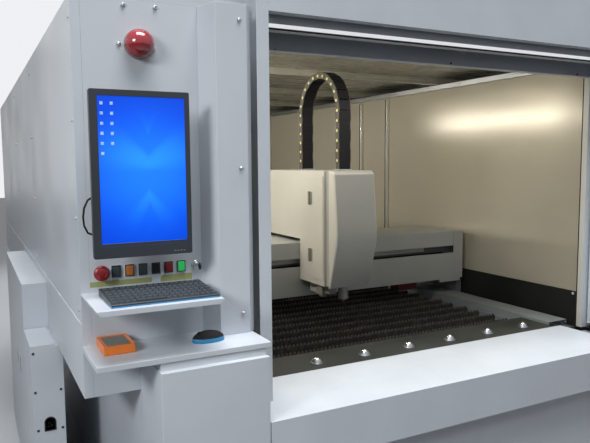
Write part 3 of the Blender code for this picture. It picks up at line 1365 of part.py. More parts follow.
build_base()
build_skirts()
build_sill()
build_side_panels()
build_roof()
build_inner_walls()
build_rail_covers()
build_slats()
build_apron()
build_portal()
build_gantry()
build_carriage()
build_console()
build_service_box()
build_laser_source()
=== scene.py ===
"""Looks of an enclosed fibre laser sheet cutting machine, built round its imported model.

Lengths are in metres. The sub-assemblies are laid out in machine coordinates: X from the left side
face, Y from the front of the door portal into the machine, Z from the floor. place() moves a point of
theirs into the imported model's frame, whose origin is at the middle of the footprint.
"""

import json
import logging
import math
from dataclasses import dataclass, field
from enum import Enum
from typing import Callable, Iterable, Sequence

import bpy
from mathutils import Matrix, Vector


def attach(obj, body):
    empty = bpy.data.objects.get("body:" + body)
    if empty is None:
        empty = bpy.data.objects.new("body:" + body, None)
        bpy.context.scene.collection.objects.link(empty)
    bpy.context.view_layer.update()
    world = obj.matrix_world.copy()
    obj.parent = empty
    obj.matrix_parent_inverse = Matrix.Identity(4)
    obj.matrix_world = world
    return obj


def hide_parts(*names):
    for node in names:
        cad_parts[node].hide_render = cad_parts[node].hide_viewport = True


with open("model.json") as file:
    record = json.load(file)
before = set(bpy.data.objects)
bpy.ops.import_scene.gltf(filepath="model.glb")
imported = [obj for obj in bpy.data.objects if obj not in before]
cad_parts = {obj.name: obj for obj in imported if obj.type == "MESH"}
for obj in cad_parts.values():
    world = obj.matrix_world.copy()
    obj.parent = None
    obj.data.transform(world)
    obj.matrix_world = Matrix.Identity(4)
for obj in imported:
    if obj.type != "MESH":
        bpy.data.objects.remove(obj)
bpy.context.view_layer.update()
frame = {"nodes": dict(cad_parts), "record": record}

LOG = logging.getLogger("laser_cutter")
logging.basicConfig(level=logging.INFO, format="%(message)s")

SHIFT = Vector((-1.433, -2.18, 0.0))
BED_CENTRE = 1.487
Point = tuple[float, float, float]
Flat = tuple[float, float]
Colour = tuple[float, float, float]


def place(x: float, y: float, z: float) -> Vector:
    """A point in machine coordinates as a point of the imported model's frame."""
    return Vector((x, y, z)) + SHIFT


class Plane(Enum):
    """The plane of a drawn outline, as the two axes of its points and the axis it is extruded along."""

    XZ = (0, 2, 1)
    YZ = (1, 2, 0)


class Way(Enum):
    """A direction along a machine axis."""

    RIGHT = (1, 0, 0)
    LEFT = (-1, 0, 0)
    REAR = (0, 1, 0)
    FRONT = (0, -1, 0)
    UP = (0, 0, 1)

    @property
    def vector(self) -> Vector:
        """The direction as a vector."""
        return Vector(self.value)


BODY_OF_NODE = {
    node: body for body, group in frame["record"]["behaviour"]["bodies"].items() for node in group
}


class Bench:
    """Modelling operations, each on one object at a time."""

    @staticmethod
    def clear() -> None:
        """Leaves edit mode and deselects everything."""
        if bpy.context.object is not None and bpy.context.object.mode != "OBJECT":
            bpy.ops.object.mode_set(mode="OBJECT")
        bpy.ops.object.select_all(action="DESELECT")

    @classmethod
    def take(cls, piece: bpy.types.Object) -> None:
        """Makes a piece the only one selected, and the active one.

        Args:
            piece: the piece.
        """
        cls.clear()
        bpy.context.view_layer.objects.active = piece
        piece.select_set(True)

    @classmethod
    def settle(cls, piece: bpy.types.Object) -> bpy.types.Object:
        """Applies the piece's transform, so that its place is in its mesh.

        Args:
            piece: the piece.

        Returns:
            The same piece.
        """
        cls.take(piece)
        bpy.ops.object.transform_apply(location=True, rotation=True, scale=True)
        return piece

    @classmethod
    def box(cls, name: str, low: Point, high: Point) -> bpy.types.Object:
        """Adds a box between two corners in machine coordinates, as the start of a piece.

        Args:
            name: the piece's name.
            low: its lowest corner.
            high: its highest corner.

        Returns:
            The new object, settled.
        """
        cls.clear()
        first, last = place(*low), place(*high)
        bpy.ops.mesh.primitive_cube_add(size=1.0, location=(first + last) / 2)
        piece = bpy.context.object
        piece.name = name
        piece.scale = last - first
        return cls.settle(piece)

    @classmethod
    def slab(
        cls, name: str, low: Point, high: Point, width: float, segments: int = 3
    ) -> bpy.types.Object:
        """Makes a block between two corners, with rounded edges.

        Args:
            name: the piece's name.
            low: its lowest corner, in machine coordinates.
            high: its highest corner.
            width: the width of the rounding.
            segments: the rounding's steps.

        Returns:
            The piece.
        """
        return cls.round_all(cls.box(name, low, high), width, segments)

    @classmethod
    def drum(
        cls, name: str, centre: Point, axis: Way, radius: float, length: float, sides: int = 32
    ) -> bpy.types.Object:
        """Adds a cylinder at a centre in machine coordinates, as the start of a piece.

        Args:
            name: the piece's name.
            centre: the middle of the cylinder.
            axis: the direction of its axis.
            radius: its radius.
            length: its length.
            sides: how many sides it has.

        Returns:
            The new object, settled.
        """
        cls.clear()
        turn = Vector((0, 0, 1)).rotation_difference(axis.vector).to_euler()
        bpy.ops.mesh.primitive_cylinder_add(
            vertices=sides, radius=radius, depth=length, location=place(*centre), rotation=turn
        )
        piece = bpy.context.object
        piece.name = name
        return cls.settle(piece)

    @classmethod
    def tube(cls, name: str, path: Sequence[Point], radius: float) -> bpy.types.Object:
        """Makes a closed round tube along a path.

        Args:
            name: the piece's name.
            path: the points of its middle line, in machine coordinates.
            radius: its radius.

        Returns:
            The piece.
        """
        curve = bpy.data.curves.new(name, "CURVE")
        curve.dimensions = "3D"
        curve.bevel_depth = radius
        curve.bevel_resolution = 3
        curve.use_fill_caps = True
        spline = curve.splines.new("POLY")
        spline.points.add(len(path) - 1)
        for point, spot in zip(spline.points, path):
            point.co = (*place(*spot), 1.0)
        item = bpy.data.objects.new(name, curve)
        bpy.context.scene.collection.objects.link(item)
        cls.take(item)
        bpy.ops.object.convert(target="MESH")
        return cls.closed(bpy.context.object)

    @classmethod
    def closed(cls, piece: bpy.types.Object) -> bpy.types.Object:
        """Merges a piece's doubled points and turns its faces outwards.

        Args:
            piece: the piece.

        Returns:
            The same piece.
        """
        cls.take(piece)
        bpy.ops.object.mode_set(mode="EDIT")
        bpy.ops.mesh.select_all(action="SELECT")
        bpy.ops.mesh.remove_doubles(threshold=1e-6)
        bpy.ops.mesh.normals_make_consistent(inside=False)
        bpy.ops.object.mode_set(mode="OBJECT")
        return piece

    @classmethod
    def lathe(
        cls, name: str, base: Point, axis: Way, rows: Sequence[Flat], steps: int = 32
    ) -> bpy.types.Object:
        """Spins a profile into a turned piece.

        Args:
            name: the piece's name.
            base: the point of the axis where the profile's heights are counted from.
            axis: the direction that the heights run in.
            rows: (radius, height) points from the top of the piece down its outer side.
            steps: how many sides the turned piece has.

        Returns:
            The new object, settled.
        """
        mesh = bpy.data.meshes.new(name)
        points = [(radius, 0.0, height) for radius, height in rows]
        mesh.from_pydata(points, [(i, i + 1) for i in range(len(points) - 1)], [])
        piece = bpy.data.objects.new(name, mesh)
        bpy.context.scene.collection.objects.link(piece)
        cls.take(piece)
        bpy.ops.object.mode_set(mode="EDIT")
        bpy.ops.mesh.select_all(action="SELECT")
        bpy.ops.mesh.spin(steps=steps, angle=2 * math.pi, center=(0, 0, 0), axis=(0, 0, 1))
        cls.closed(piece)
        turn = Vector((0, 0, 1)).rotation_difference(axis.vector).to_matrix().to_4x4()
        mesh.transform(Matrix.Translation(place(*base)) @ turn)
        return piece

    @classmethod
    def turned(
        cls, name: str, base: Point, axis: Way, rows: Sequence[Flat], steps: int = 32
    ) -> bpy.types.Object:
        """Makes a turned piece with smooth shading. The arguments are those of lathe."""
        return cls.smooth(cls.lathe(name, base, axis, rows, steps))

    @classmethod
    def prism(cls, name: str, plane: Plane, points: Sequence[Flat], span: Flat) -> bpy.types.Object:
        """Extrudes a closed outline into a solid.

        Args:
            name: the piece's name.
            plane: the plane of the outline.
            points: the outline in machine coordinates.
            span: where the extrusion starts and ends along the third axis.

        Returns:
            The new object, settled.
        """
        first, second, third = plane.value
        corners = []
        for u, v in points:
            corner = [0.0, 0.0, 0.0]
            corner[first], corner[second], corner[third] = u, v, span[0]
            corners.append(place(*corner))
        mesh = bpy.data.meshes.new(name)
        mesh.from_pydata(corners, [], [tuple(range(len(corners)))])
        piece = bpy.data.objects.new(name, mesh)
        bpy.context.scene.collection.objects.link(piece)
        cls.take(piece)
        move = [0.0, 0.0, 0.0]
        move[third] = span[1] - span[0]
        bpy.ops.object.mode_set(mode="EDIT")
        bpy.ops.mesh.select_all(action="SELECT")
        bpy.ops.mesh.extrude_region_move(TRANSFORM_OT_translate={"value": tuple(move)})
        bpy.ops.mesh.select_all(action="SELECT")
        bpy.ops.mesh.normals_make_consistent(inside=False)
        bpy.ops.object.mode_set(mode="OBJECT")
        return piece

    @classmethod
    def pick_faces(cls, piece: bpy.types.Object, test: Callable[[bpy.types.MeshPolygon], bool]) -> None:
        """Selects the faces that pass a test, and goes into edit mode.

        Args:
            piece: the piece.
            test: says whether a face is picked.
        """
        cls.take(piece)
        mesh = piece.data
        mesh.vertices.foreach_set("select", [False] * len(mesh.vertices))
        mesh.edges.foreach_set("select", [False] * len(mesh.edges))
        mesh.polygons.foreach_set("select", [bool(test(face)) for face in mesh.polygons])
        bpy.context.tool_settings.mesh_select_mode = (False, False, True)
        bpy.ops.object.mode_set(mode="EDIT")

    @classmethod
    def pick_edges(cls, piece: bpy.types.Object, test: Callable[[Vector, Vector], bool]) -> None:
        """Selects the edges whose two ends pass a test, and goes into edit mode.

        Args:
            piece: the piece.
            test: says whether an edge between two points is picked.
        """
        cls.take(piece)
        mesh = piece.data
        mesh.vertices.foreach_set("select", [False] * len(mesh.vertices))
        mesh.polygons.foreach_set("select", [False] * len(mesh.polygons))
        ends = [[mesh.vertices[index].co for index in edge.vertices] for edge in mesh.edges]
        mesh.edges.foreach_set("select", [bool(test(a, b)) for a, b in ends])
        bpy.context.tool_settings.mesh_select_mode = (False, True, False)
        bpy.ops.object.mode_set(mode="EDIT")

    @classmethod
    def bevel_picked(cls, width: float, segments: int = 3) -> None:
        """Rounds the picked edges."""
        bpy.ops.mesh.bevel(offset=width, segments=segments, affect="EDGES", clamp_overlap=True)
        bpy.ops.object.mode_set(mode="OBJECT")

    @classmethod
    def round_all(
        cls, piece: bpy.types.Object, width: float, segments: int = 3, angle: float = 30.0
    ) -> bpy.types.Object:
        """Rounds every sharp edge with a Bevel modifier, applies it and smooths the piece.

        Args:
            piece: the piece.
            width: the width of the rounding.
            segments: its number of steps.
            angle: edges sharper than this many degrees are rounded.

        Returns:
            The same piece.
        """
        cls.take(piece)
        change = piece.modifiers.new("edges", "BEVEL")
        change.width = width
        change.segments = segments
        change.limit_method = "ANGLE"
        change.angle_limit = math.radians(angle)
        change.use_clamp_overlap = True
        change.miter_outer = "MITER_ARC"
        bpy.ops.object.modifier_apply(modifier=change.name)
        cls.smooth(piece)
        level = piece.modifiers.new("flat faces", "WEIGHTED_NORMAL")
        level.keep_sharp = True
        bpy.ops.object.modifier_apply(modifier=level.name)
        return piece

    @classmethod
    def smooth(cls, piece: bpy.types.Object, angle: float = 32.0) -> bpy.types.Object:
        """Shades a piece smooth, apart from edges sharper than the angle in degrees.

        Args:
            piece: the piece.
            angle: the angle from which an edge stays sharp, in degrees.

        Returns:
            The same piece.
        """
        cls.take(piece)
        bpy.ops.object.shade_smooth_by_angle(angle=math.radians(angle))
        return piece

    @classmethod
    def sink(
        cls, piece: bpy.types.Object, facing: Way, border: float, depth: float,
        beyond: Callable[[Vector], bool] | None = None
    ) -> None:
        """Insets the faces that look one way and pushes them in.

        Args:
            piece: the piece.
            facing: the direction that the faces look in.
            border: how wide a rim stays.
            depth: how far the inner face goes in.
            beyond: a test of a face's centre, for pieces with several such faces.
        """
        wanted = facing.vector
        cls.pick_faces(piece, lambda f: f.normal.dot(wanted) > 0.99 and (beyond is None or beyond(f.center)))
        bpy.ops.mesh.inset(thickness=border, depth=0.0)
        bpy.ops.transform.translate(value=tuple(-wanted * depth))
        bpy.ops.object.mode_set(mode="OBJECT")

    @classmethod
    def taper(cls, piece: bpy.types.Object, facing: Way, scale: float, middle: Point) -> None:
        """Shrinks the faces that look one way, so that the sides lean in.

        Args:
            piece: the piece.
            facing: the direction that the faces look in.
            scale: what their width and height are multiplied by.
            middle: the point that they shrink towards, in machine coordinates.
        """
        cls.pick_faces(piece, lambda f: f.normal.dot(facing.vector) > 0.9)
        factors = tuple(1.0 if part else scale for part in facing.value)
        bpy.ops.transform.resize(value=factors, center_override=tuple(place(*middle)))
        bpy.ops.object.mode_set(mode="OBJECT")

    @classmethod
    def carve(cls, piece: bpy.types.Object, cutters: Iterable[bpy.types.Object]) -> bpy.types.Object:
        """Cuts the cutters out of a piece and removes them.

        Args:
            piece: the piece.
            cutters: the pieces to cut with. They are removed.

        Returns:
            The same piece.
        """
        for cutter in cutters:
            cls.take(piece)
            change = piece.modifiers.new("cut", "BOOLEAN")
            change.operation = "DIFFERENCE"
            change.solver = "EXACT"
            change.object = cutter
            bpy.ops.object.modifier_apply(modifier=change.name)
            bpy.data.objects.remove(cutter, do_unlink=True)
        return piece

    @classmethod
    def weld(cls, name: str, pieces: Sequence[bpy.types.Object]) -> bpy.types.Object:
        """Joins pieces into one object under a name.

        Args:
            name: the joined piece's name.
            pieces: the pieces to join.

        Returns:
            The joined piece.
        """
        cls.take(pieces[0])
        for piece in pieces:
            piece.select_set(True)
        if len(pieces) > 1:
            bpy.ops.object.join()
        pieces[0].name = name
        return pieces[0]

    @classmethod
    def repeat(cls, name: str, model: bpy.types.Object, moves: Sequence[Matrix]) -> bpy.types.Object:
        """Copies a model to several places, each copy with its own mesh, and joins the copies.

        Args:
            name: the joined piece's name.
            model: the piece that is copied. It is removed.
            moves: a matrix for each copy.

        Returns:
            The joined piece.
        """
        copies = []
        for move in moves:
            copy = model.copy()
            copy.data = model.data.copy()
            copy.data.transform(move)
            bpy.context.scene.collection.objects.link(copy)
            copies.append(copy)
        bpy.data.objects.remove(model, do_unlink=True)
        return cls.weld(name, copies)

    @classmethod
    def refined(cls, node: str, name: str, width: float, segments: int = 2) -> bpy.types.Object:
        """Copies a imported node's mesh, merges its triangles into faces and rounds its edges.

        Args:
            node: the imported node.
            name: the new piece's name.
            width: the rounding's width, under half the sheet's thickness.
            segments: the rounding's steps.

        Returns:
            The new piece, riding on the node's body in place of the node.
        """
        source = frame["nodes"][node]
        piece = bpy.data.objects.new(name, source.data.copy())
        piece.data.materials.clear()
        bpy.context.scene.collection.objects.link(piece)
        cls.take(piece)
        bpy.ops.object.mode_set(mode="EDIT")
        bpy.ops.mesh.select_all(action="SELECT")
        bpy.ops.mesh.remove_doubles(threshold=1e-5)
        bpy.ops.mesh.dissolve_limited(angle_limit=math.radians(0.5))
        bpy.ops.object.mode_set(mode="OBJECT")
        cls.round_all(piece, width, segments)
        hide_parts(node)
        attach(piece, BODY_OF_NODE[node])
        return piece


def moved(x: float, y: float, z: float) -> Matrix:
    """A translation."""
    return Matrix.Translation((x, y, z))


def arc(centre: Flat, radius: float, start: float, end: float, steps: int) -> list[Flat]:
    """Points on a circular arc, with angles in degrees."""
    turns = [math.radians(start + (end - start) * i / steps) for i in range(steps + 1)]
    return [(centre[0] + radius * math.cos(a), centre[1] + radius * math.sin(a)) for a in turns]


def spread(first: float, last: float, count: int) -> list[float]:
    """Evenly spaced values from first to last."""
    return [first + (last - first) * i / (count - 1) for i in range(count)]


class Wiring:
    """Adds and links the nodes of one node tree."""

    def __init__(self, tree: bpy.types.NodeTree) -> None:
        """Starts on a tree."""
        self.tree = tree

    def feed(self, node: bpy.types.Node, **inputs: object) -> bpy.types.Node:
        """Sets a node's inputs. One given as a socket is linked, and any other becomes the default.

        Args:
            node: the node.
            inputs: its sockets by name, with underscores for spaces, or by number as _0, _1.

        Returns:
            The same node.
        """
        for key, value in inputs.items():
            socket = node.inputs[int(key[1:])] if key[1:].isdigit() else node.inputs[key.replace("_", " ")]
            if isinstance(value, bpy.types.NodeSocket):
                self.tree.links.new(value, socket)
            else:
                socket.default_value = value
        return node

    def add(self, kind: str, settings: dict | None = None, **inputs: object) -> bpy.types.Node:
        """Adds a node and sets its inputs, as feed does.

        Args:
            kind: the node type, without its ShaderNode prefix.
            settings: the node's own properties.
            inputs: its inputs, as in feed.

        Returns:
            The new node.
        """
        node = self.tree.nodes.new("ShaderNode" + kind)
        for key, value in (settings or {}).items():
            setattr(node, key, value)
        return self.feed(node, **inputs)

    def math(
        self, operation: str, first: object, second: object = 0.0, clamp: bool = False
    ) -> bpy.types.NodeSocket:
        """Adds a Math node and returns its output."""
        return self.add("Math", {"operation": operation, "use_clamp": clamp}, _0=first, _1=second).outputs[0]

    def scaled(
        self, value: bpy.types.NodeSocket, factor: float, offset: float
    ) -> bpy.types.NodeSocket:
        """Adds a Math node that scales and shifts a value.

        Args:
            value: the output it takes.
            factor: what the value is multiplied by.
            offset: what is added to the product.

        Returns:
            The node's output.
        """
        result = self.math("MULTIPLY_ADD", value, factor)
        result.node.inputs[2].default_value = offset
        return result

    def ramp(self, value: bpy.types.NodeSocket, low: float, high: float) -> bpy.types.NodeSocket:
        """Maps a value from low..high to 0..1 smoothly and returns the output."""
        settings = {"interpolation_type": "SMOOTHSTEP"}
        return self.add("MapRange", settings, Value=value, From_Min=low, From_Max=high).outputs[0]

    def blend(self, factor: object, first: object, second: object) -> bpy.types.NodeSocket:
        """Mixes two colours and returns the result.

        Args:
            factor: how much of the second colour shows.
            first: the first colour.
            second: the second colour.

        Returns:
            The mixed colour's output.
        """
        return self.add("Mix", {"data_type": "RGBA"}, _0=factor, _6=first, _7=second).outputs[2]

    def in_view(self) -> bpy.types.NodeSocket:
        """Tells what the camera sees, also in a mirror or through glass, from stray light.

        Returns:
            An output that is 1 for a ray that is seen, and 0 for any other.
        """
        rays = self.add("LightPath").outputs
        seen = rays["Is Camera Ray"]
        for kind in ("Is Glossy Ray", "Is Transmission Ray"):
            seen = self.math("MAXIMUM", seen, rays[kind])
        return seen

    def bump(self, shader: bpy.types.Node, strength: float, distance: float, height: object) -> None:
        """Gives a shader the relief of a height, as strong and as deep as said."""
        relief = self.add("Bump", None, Strength=strength, Distance=distance, Height=height)
        self.feed(shader, Normal=relief.outputs[0])


class Effects:
    """Shader node groups that several finishes share. Each is built once."""

    _built: dict[str, bpy.types.NodeTree] = {}

    @classmethod
    def _start(
        cls, name: str, inputs: Sequence[tuple[str, str, object]], outputs: Sequence[tuple[str, str]]
    ) -> tuple[Wiring, dict, bpy.types.Node]:
        """Makes an empty group with its sockets.

        Args:
            name: the group's name.
            inputs: (name, socket type, default) of each input.
            outputs: (name, socket type) of each output.

        Returns:
            The group's wiring, its input sockets by name, and its output node.
        """
        tree = bpy.data.node_groups.new(name, "ShaderNodeTree")
        for label, kind, default in inputs:
            socket = tree.interface.new_socket(label, in_out="INPUT", socket_type="NodeSocket" + kind)
            if default is not None:
                socket.default_value = default
        for label, kind in outputs:
            tree.interface.new_socket(label, in_out="OUTPUT", socket_type="NodeSocket" + kind)
        cls._built[name] = tree
        entry = tree.nodes.new("NodeGroupInput")
        return Wiring(tree), {s.name: s for s in entry.outputs}, tree.nodes.new("NodeGroupOutput")

    @classmethod
    def grain(cls) -> bpy.types.NodeTree:
        """Fine surface relief and a slow unevenness: Vector, Scale and Patch Scale to Height and Patches.

        Returns:
            The group's node tree.
        """
        if "surface_grain" in cls._built:
            return cls._built["surface_grain"]
        inputs = [("Vector", "Vector", None), ("Scale", "Float", 400.0), ("Patch Scale", "Float", 3.0)]
        wiring, given, end = cls._start("surface_grain", inputs, [("Height", "Float"), ("Patches", "Float")])
        fine = wiring.add("TexNoise", None, Vector=given["Vector"], Scale=given["Scale"], Detail=3.0)
        slow = wiring.add("TexNoise", None, Vector=given["Vector"], Scale=given["Patch Scale"], Detail=4.0)
        wiring.feed(end, Height=fine.outputs["Fac"], Patches=slow.outputs["Fac"])
        return wiring.tree

    @classmethod
    def wear(cls) -> bpy.types.NodeTree:
        """Worn edges: Vector, Paint, Bare, Reach and Amount to Colour and Mask.

        Returns:
            The group's node tree.
        """
        if "edge_wear" in cls._built:
            return cls._built["edge_wear"]
        inputs = [
            ("Vector", "Vector", None),
            ("Paint", "Color", (0.5, 0.5, 0.5, 1)),
            ("Bare", "Color", (0.3, 0.3, 0.3, 1)),
            ("Reach", "Float", 0.002),
            ("Amount", "Float", 0.5),
        ]
        wiring, given, end = cls._start("edge_wear", inputs, [("Colour", "Color"), ("Mask", "Float")])
        rounded = wiring.add("Bevel", {"samples": 4}, Radius=given["Reach"])
        here = wiring.add("NewGeometry")
        lean = wiring.add(
            "VectorMath", {"operation": "DOT_PRODUCT"}, _0=rounded.outputs[0], _1=here.outputs["Normal"]
        )
        edge = wiring.ramp(wiring.math("SUBTRACT", 1.0, lean.outputs["Value"]), 0.02, 0.25)
        chips = wiring.add("TexNoise", None, Vector=given["Vector"], Scale=90.0, Detail=5.0)
        kept = wiring.ramp(chips.outputs["Fac"], 0.46, 0.62)
        mask = wiring.math("MULTIPLY", wiring.math("MULTIPLY", edge, kept), given["Amount"], clamp=True)
        colour = wiring.blend(mask, given["Paint"], given["Bare"])
        wiring.feed(end, Colour=colour, Mask=mask)
        return wiring.tree

    @classmethod
    def dust(cls) -> bpy.types.NodeTree:
        """Dust on faces that look up: Vector, Under, Dust and Amount to Colour and Mask.

        Returns:
            The group's node tree.
        """
        if "settled_dust" in cls._built:
            return cls._built["settled_dust"]
        inputs = [
            ("Vector", "Vector", None),
            ("Under", "Color", (0.5, 0.5, 0.5, 1)),
            ("Dust", "Color", (0.3, 0.28, 0.25, 1)),
            ("Amount", "Float", 0.2),
        ]
        wiring, given, end = cls._start("settled_dust", inputs, [("Colour", "Color"), ("Mask", "Float")])
        normal = wiring.add(
            "SeparateXYZ", None, Vector=wiring.add("NewGeometry").outputs["Normal"]
        ).outputs["Z"]
        upward = wiring.math("ADD", wiring.ramp(normal, 0.2, 0.95), 0.18)
        cloud = wiring.add("TexNoise", None, Vector=given["Vector"], Scale=6.0, Detail=6.0, Roughness=0.62)
        speck = wiring.add("TexNoise", None, Vector=given["Vector"], Scale=160.0, Detail=2.0)
        patch = wiring.math(
            "MULTIPLY", wiring.ramp(cloud.outputs["Fac"], 0.38, 0.7),
            wiring.ramp(speck.outputs["Fac"], 0.3, 0.75)
        )
        mask = wiring.math("MULTIPLY", wiring.math("MULTIPLY", patch, upward), given["Amount"], clamp=True)
        colour = wiring.blend(mask, given["Under"], given["Dust"])
        wiring.feed(end, Colour=colour, Mask=mask)
        return wiring.tree

    @classmethod
    def brushing(cls) -> bpy.types.NodeTree:
        """Brush lines along one axis: Vector, Stretch, Scale to Height and Streaks.

        Returns:
            The group's node tree.
        """
        if "brush_lines" in cls._built:
            return cls._built["brush_lines"]
        inputs = [
            ("Vector", "Vector", None), ("Stretch", "Vector", (1.0, 0.02, 1.0)), ("Scale", "Float", 500.0)
        ]
        wiring, given, end = cls._start("brush_lines", inputs, [("Height", "Float"), ("Streaks", "Float")])
        drawn = wiring.add("VectorMath", {"operation": "MULTIPLY"}, _0=given["Vector"], _1=given["Stretch"])
        lines = wiring.add("TexNoise", None, Vector=drawn.outputs[0], Scale=given["Scale"], Detail=4.0)
        slow = wiring.add("TexNoise", None, Vector=given["Vector"], Scale=5.0, Detail=3.0)
        both = wiring.math(
            "ADD", wiring.math("MULTIPLY", lines.outputs["Fac"], 0.6),
            wiring.math("MULTIPLY", slow.outputs["Fac"], 0.4)
        )
        wiring.feed(end, Height=lines.outputs["Fac"], Streaks=both)
        return wiring.tree


def opaque(colour: Colour) -> tuple[float, float, float, float]:
    """A colour with full alpha."""
    return (*colour, 1.0)


def start_material(name: str) -> tuple[Wiring, bpy.types.Node, bpy.types.NodeSocket]:
    """Makes a material and returns its wiring, its Principled BSDF and its Object coordinates.

    Args:
        name: the material's name.

    Returns:
        The wiring, the Principled BSDF and the Object coordinates.
    """
    material = bpy.data.materials.new(name)
    material.use_nodes = True
    wiring = Wiring(material.node_tree)
    shader = material.node_tree.nodes["Principled BSDF"]
    return wiring, shader, wiring.add("TexCoord").outputs["Object"]


@dataclass(frozen=True)
class Coating:
    """A paint or plastic finish with grain, soil and worn edges."""

    name: str
    colour: Colour
    shade: Colour
    roughness: float = 0.4
    metallic: float = 0.0
    grain: float = 350.0
    relief: float = 0.00004
    patch: float = 2.5
    bare: Colour = (0.35, 0.35, 0.35)
    wear: float = 0.0
    reach: float = 0.0015
    dust: float = 0.12
    soil: Colour = (0.30, 0.29, 0.27)
    gloss_change: float = 0.10
    coat: float = 0.0
    glow: float = 0.0
    specular: float = 0.5

    def material(self) -> bpy.types.Material:
        """Builds the material, or finds it if it is built.

        Returns:
            The material.
        """
        found = bpy.data.materials.get(self.name)
        if found is not None:
            return found
        wiring, shader, where = start_material(self.name)
        grain = wiring.add(
            "Group", {"node_tree": Effects.grain()}, Vector=where, Scale=self.grain, Patch_Scale=self.patch
        )
        patches = wiring.ramp(grain.outputs["Patches"], 0.3, 0.7)
        colour = wiring.blend(patches, opaque(self.shade), opaque(self.colour))
        if self.wear:
            group = {"node_tree": Effects.wear()}
            worn = wiring.add(
                "Group", group, Vector=where, Paint=colour, Bare=opaque(self.bare), Reach=self.reach,
                Amount=self.wear
            )
            colour = worn.outputs["Colour"]
        rough = wiring.scaled(patches, self.gloss_change, self.roughness - self.gloss_change / 2)
        if self.dust:
            dusty = wiring.add(
                "Group", {"node_tree": Effects.dust()}, Vector=where, Under=colour, Dust=opaque(self.soil),
                Amount=self.dust
            )
            colour = dusty.outputs["Colour"]
            rough = wiring.math("ADD", rough, wiring.math("MULTIPLY", dusty.outputs["Mask"], 0.4), clamp=True)
        wiring.feed(shader, Base_Color=colour, Roughness=rough, Metallic=self.metallic)
        wiring.feed(shader, Coat_Weight=self.coat, Specular_IOR_Level=self.specular)
        if self.glow:
            wiring.feed(shader, Emission_Color=colour, Emission_Strength=self.glow)
        wiring.bump(shader, 0.6, self.relief, grain.outputs["Height"])
        return bpy.data.materials[self.name]


@dataclass(frozen=True)
class Metal:
    """A bare metal finish with brush lines along one axis."""

    name: str
    colour: Colour
    stain: Colour
    roughness: float = 0.3
    stretch: Point = (1.0, 0.02, 1.0)
    scale: float = 400.0
    relief: float = 0.00003
    metallic: float = 1.0
    dust: float = 0.1
    gloss_change: float = 0.12

    def material(self) -> bpy.types.Material:
        """Builds the material, or finds it if it is built.

        Returns:
            The material.
        """
        found = bpy.data.materials.get(self.name)
        if found is not None:
            return found
        wiring, shader, where = start_material(self.name)
        lines = wiring.add(
            "Group", {"node_tree": Effects.brushing()}, Vector=where, Stretch=self.stretch, Scale=self.scale
        )
        streaks = wiring.ramp(lines.outputs["Streaks"], 0.35, 0.65)
        colour = wiring.blend(streaks, opaque(self.stain), opaque(self.colour))
        if self.dust:
            dusty = wiring.add(
                "Group", {"node_tree": Effects.dust()}, Vector=where, Under=colour, Amount=self.dust
            )
            colour = dusty.outputs["Colour"]
        rough = wiring.scaled(streaks, self.gloss_change, self.roughness)
        wiring.feed(shader, Base_Color=colour, Roughness=rough, Metallic=self.metallic)
        wiring.bump(shader, 0.5, self.relief, lines.outputs["Height"])
        return bpy.data.materials[self.name]


@dataclass(frozen=True)
class ScaledSteel:
    """Slat steel: dark scale with rust specks and bright melted tips."""

    name: str
    tip_height: float
    scale_colour: Colour = (0.026, 0.025, 0.022)
    rust: Colour = (0.070, 0.056, 0.038)
    bright: Colour = (0.16, 0.155, 0.135)

    def material(self) -> bpy.types.Material:
        """Builds the material.

        Returns:
            The material.
        """
        wiring, shader, where = start_material(self.name)
        spots = wiring.add("TexNoise", None, Vector=where, Scale=45.0, Detail=8.0, Roughness=0.7)
        base = wiring.blend(
            wiring.ramp(spots.outputs["Fac"], 0.48, 0.62), opaque(self.scale_colour), opaque(self.rust)
        )
        height = wiring.add("SeparateXYZ", None, Vector=where).outputs["Z"]
        ragged = wiring.math("ADD", height, wiring.math("MULTIPLY", spots.outputs["Fac"], 0.016))
        tip = wiring.ramp(ragged, self.tip_height - 0.008, self.tip_height + 0.012)
        colour = wiring.blend(tip, base, opaque(self.bright))
        rough = wiring.math("SUBTRACT", 0.78, wiring.math("MULTIPLY", tip, 0.33))
        wiring.feed(shader, Base_Color=colour, Roughness=rough, Metallic=wiring.scaled(tip, 0.5, 0.35))
        wiring.bump(shader, 0.8, 0.0008, spots.outputs["Fac"])
        return bpy.data.materials[self.name]


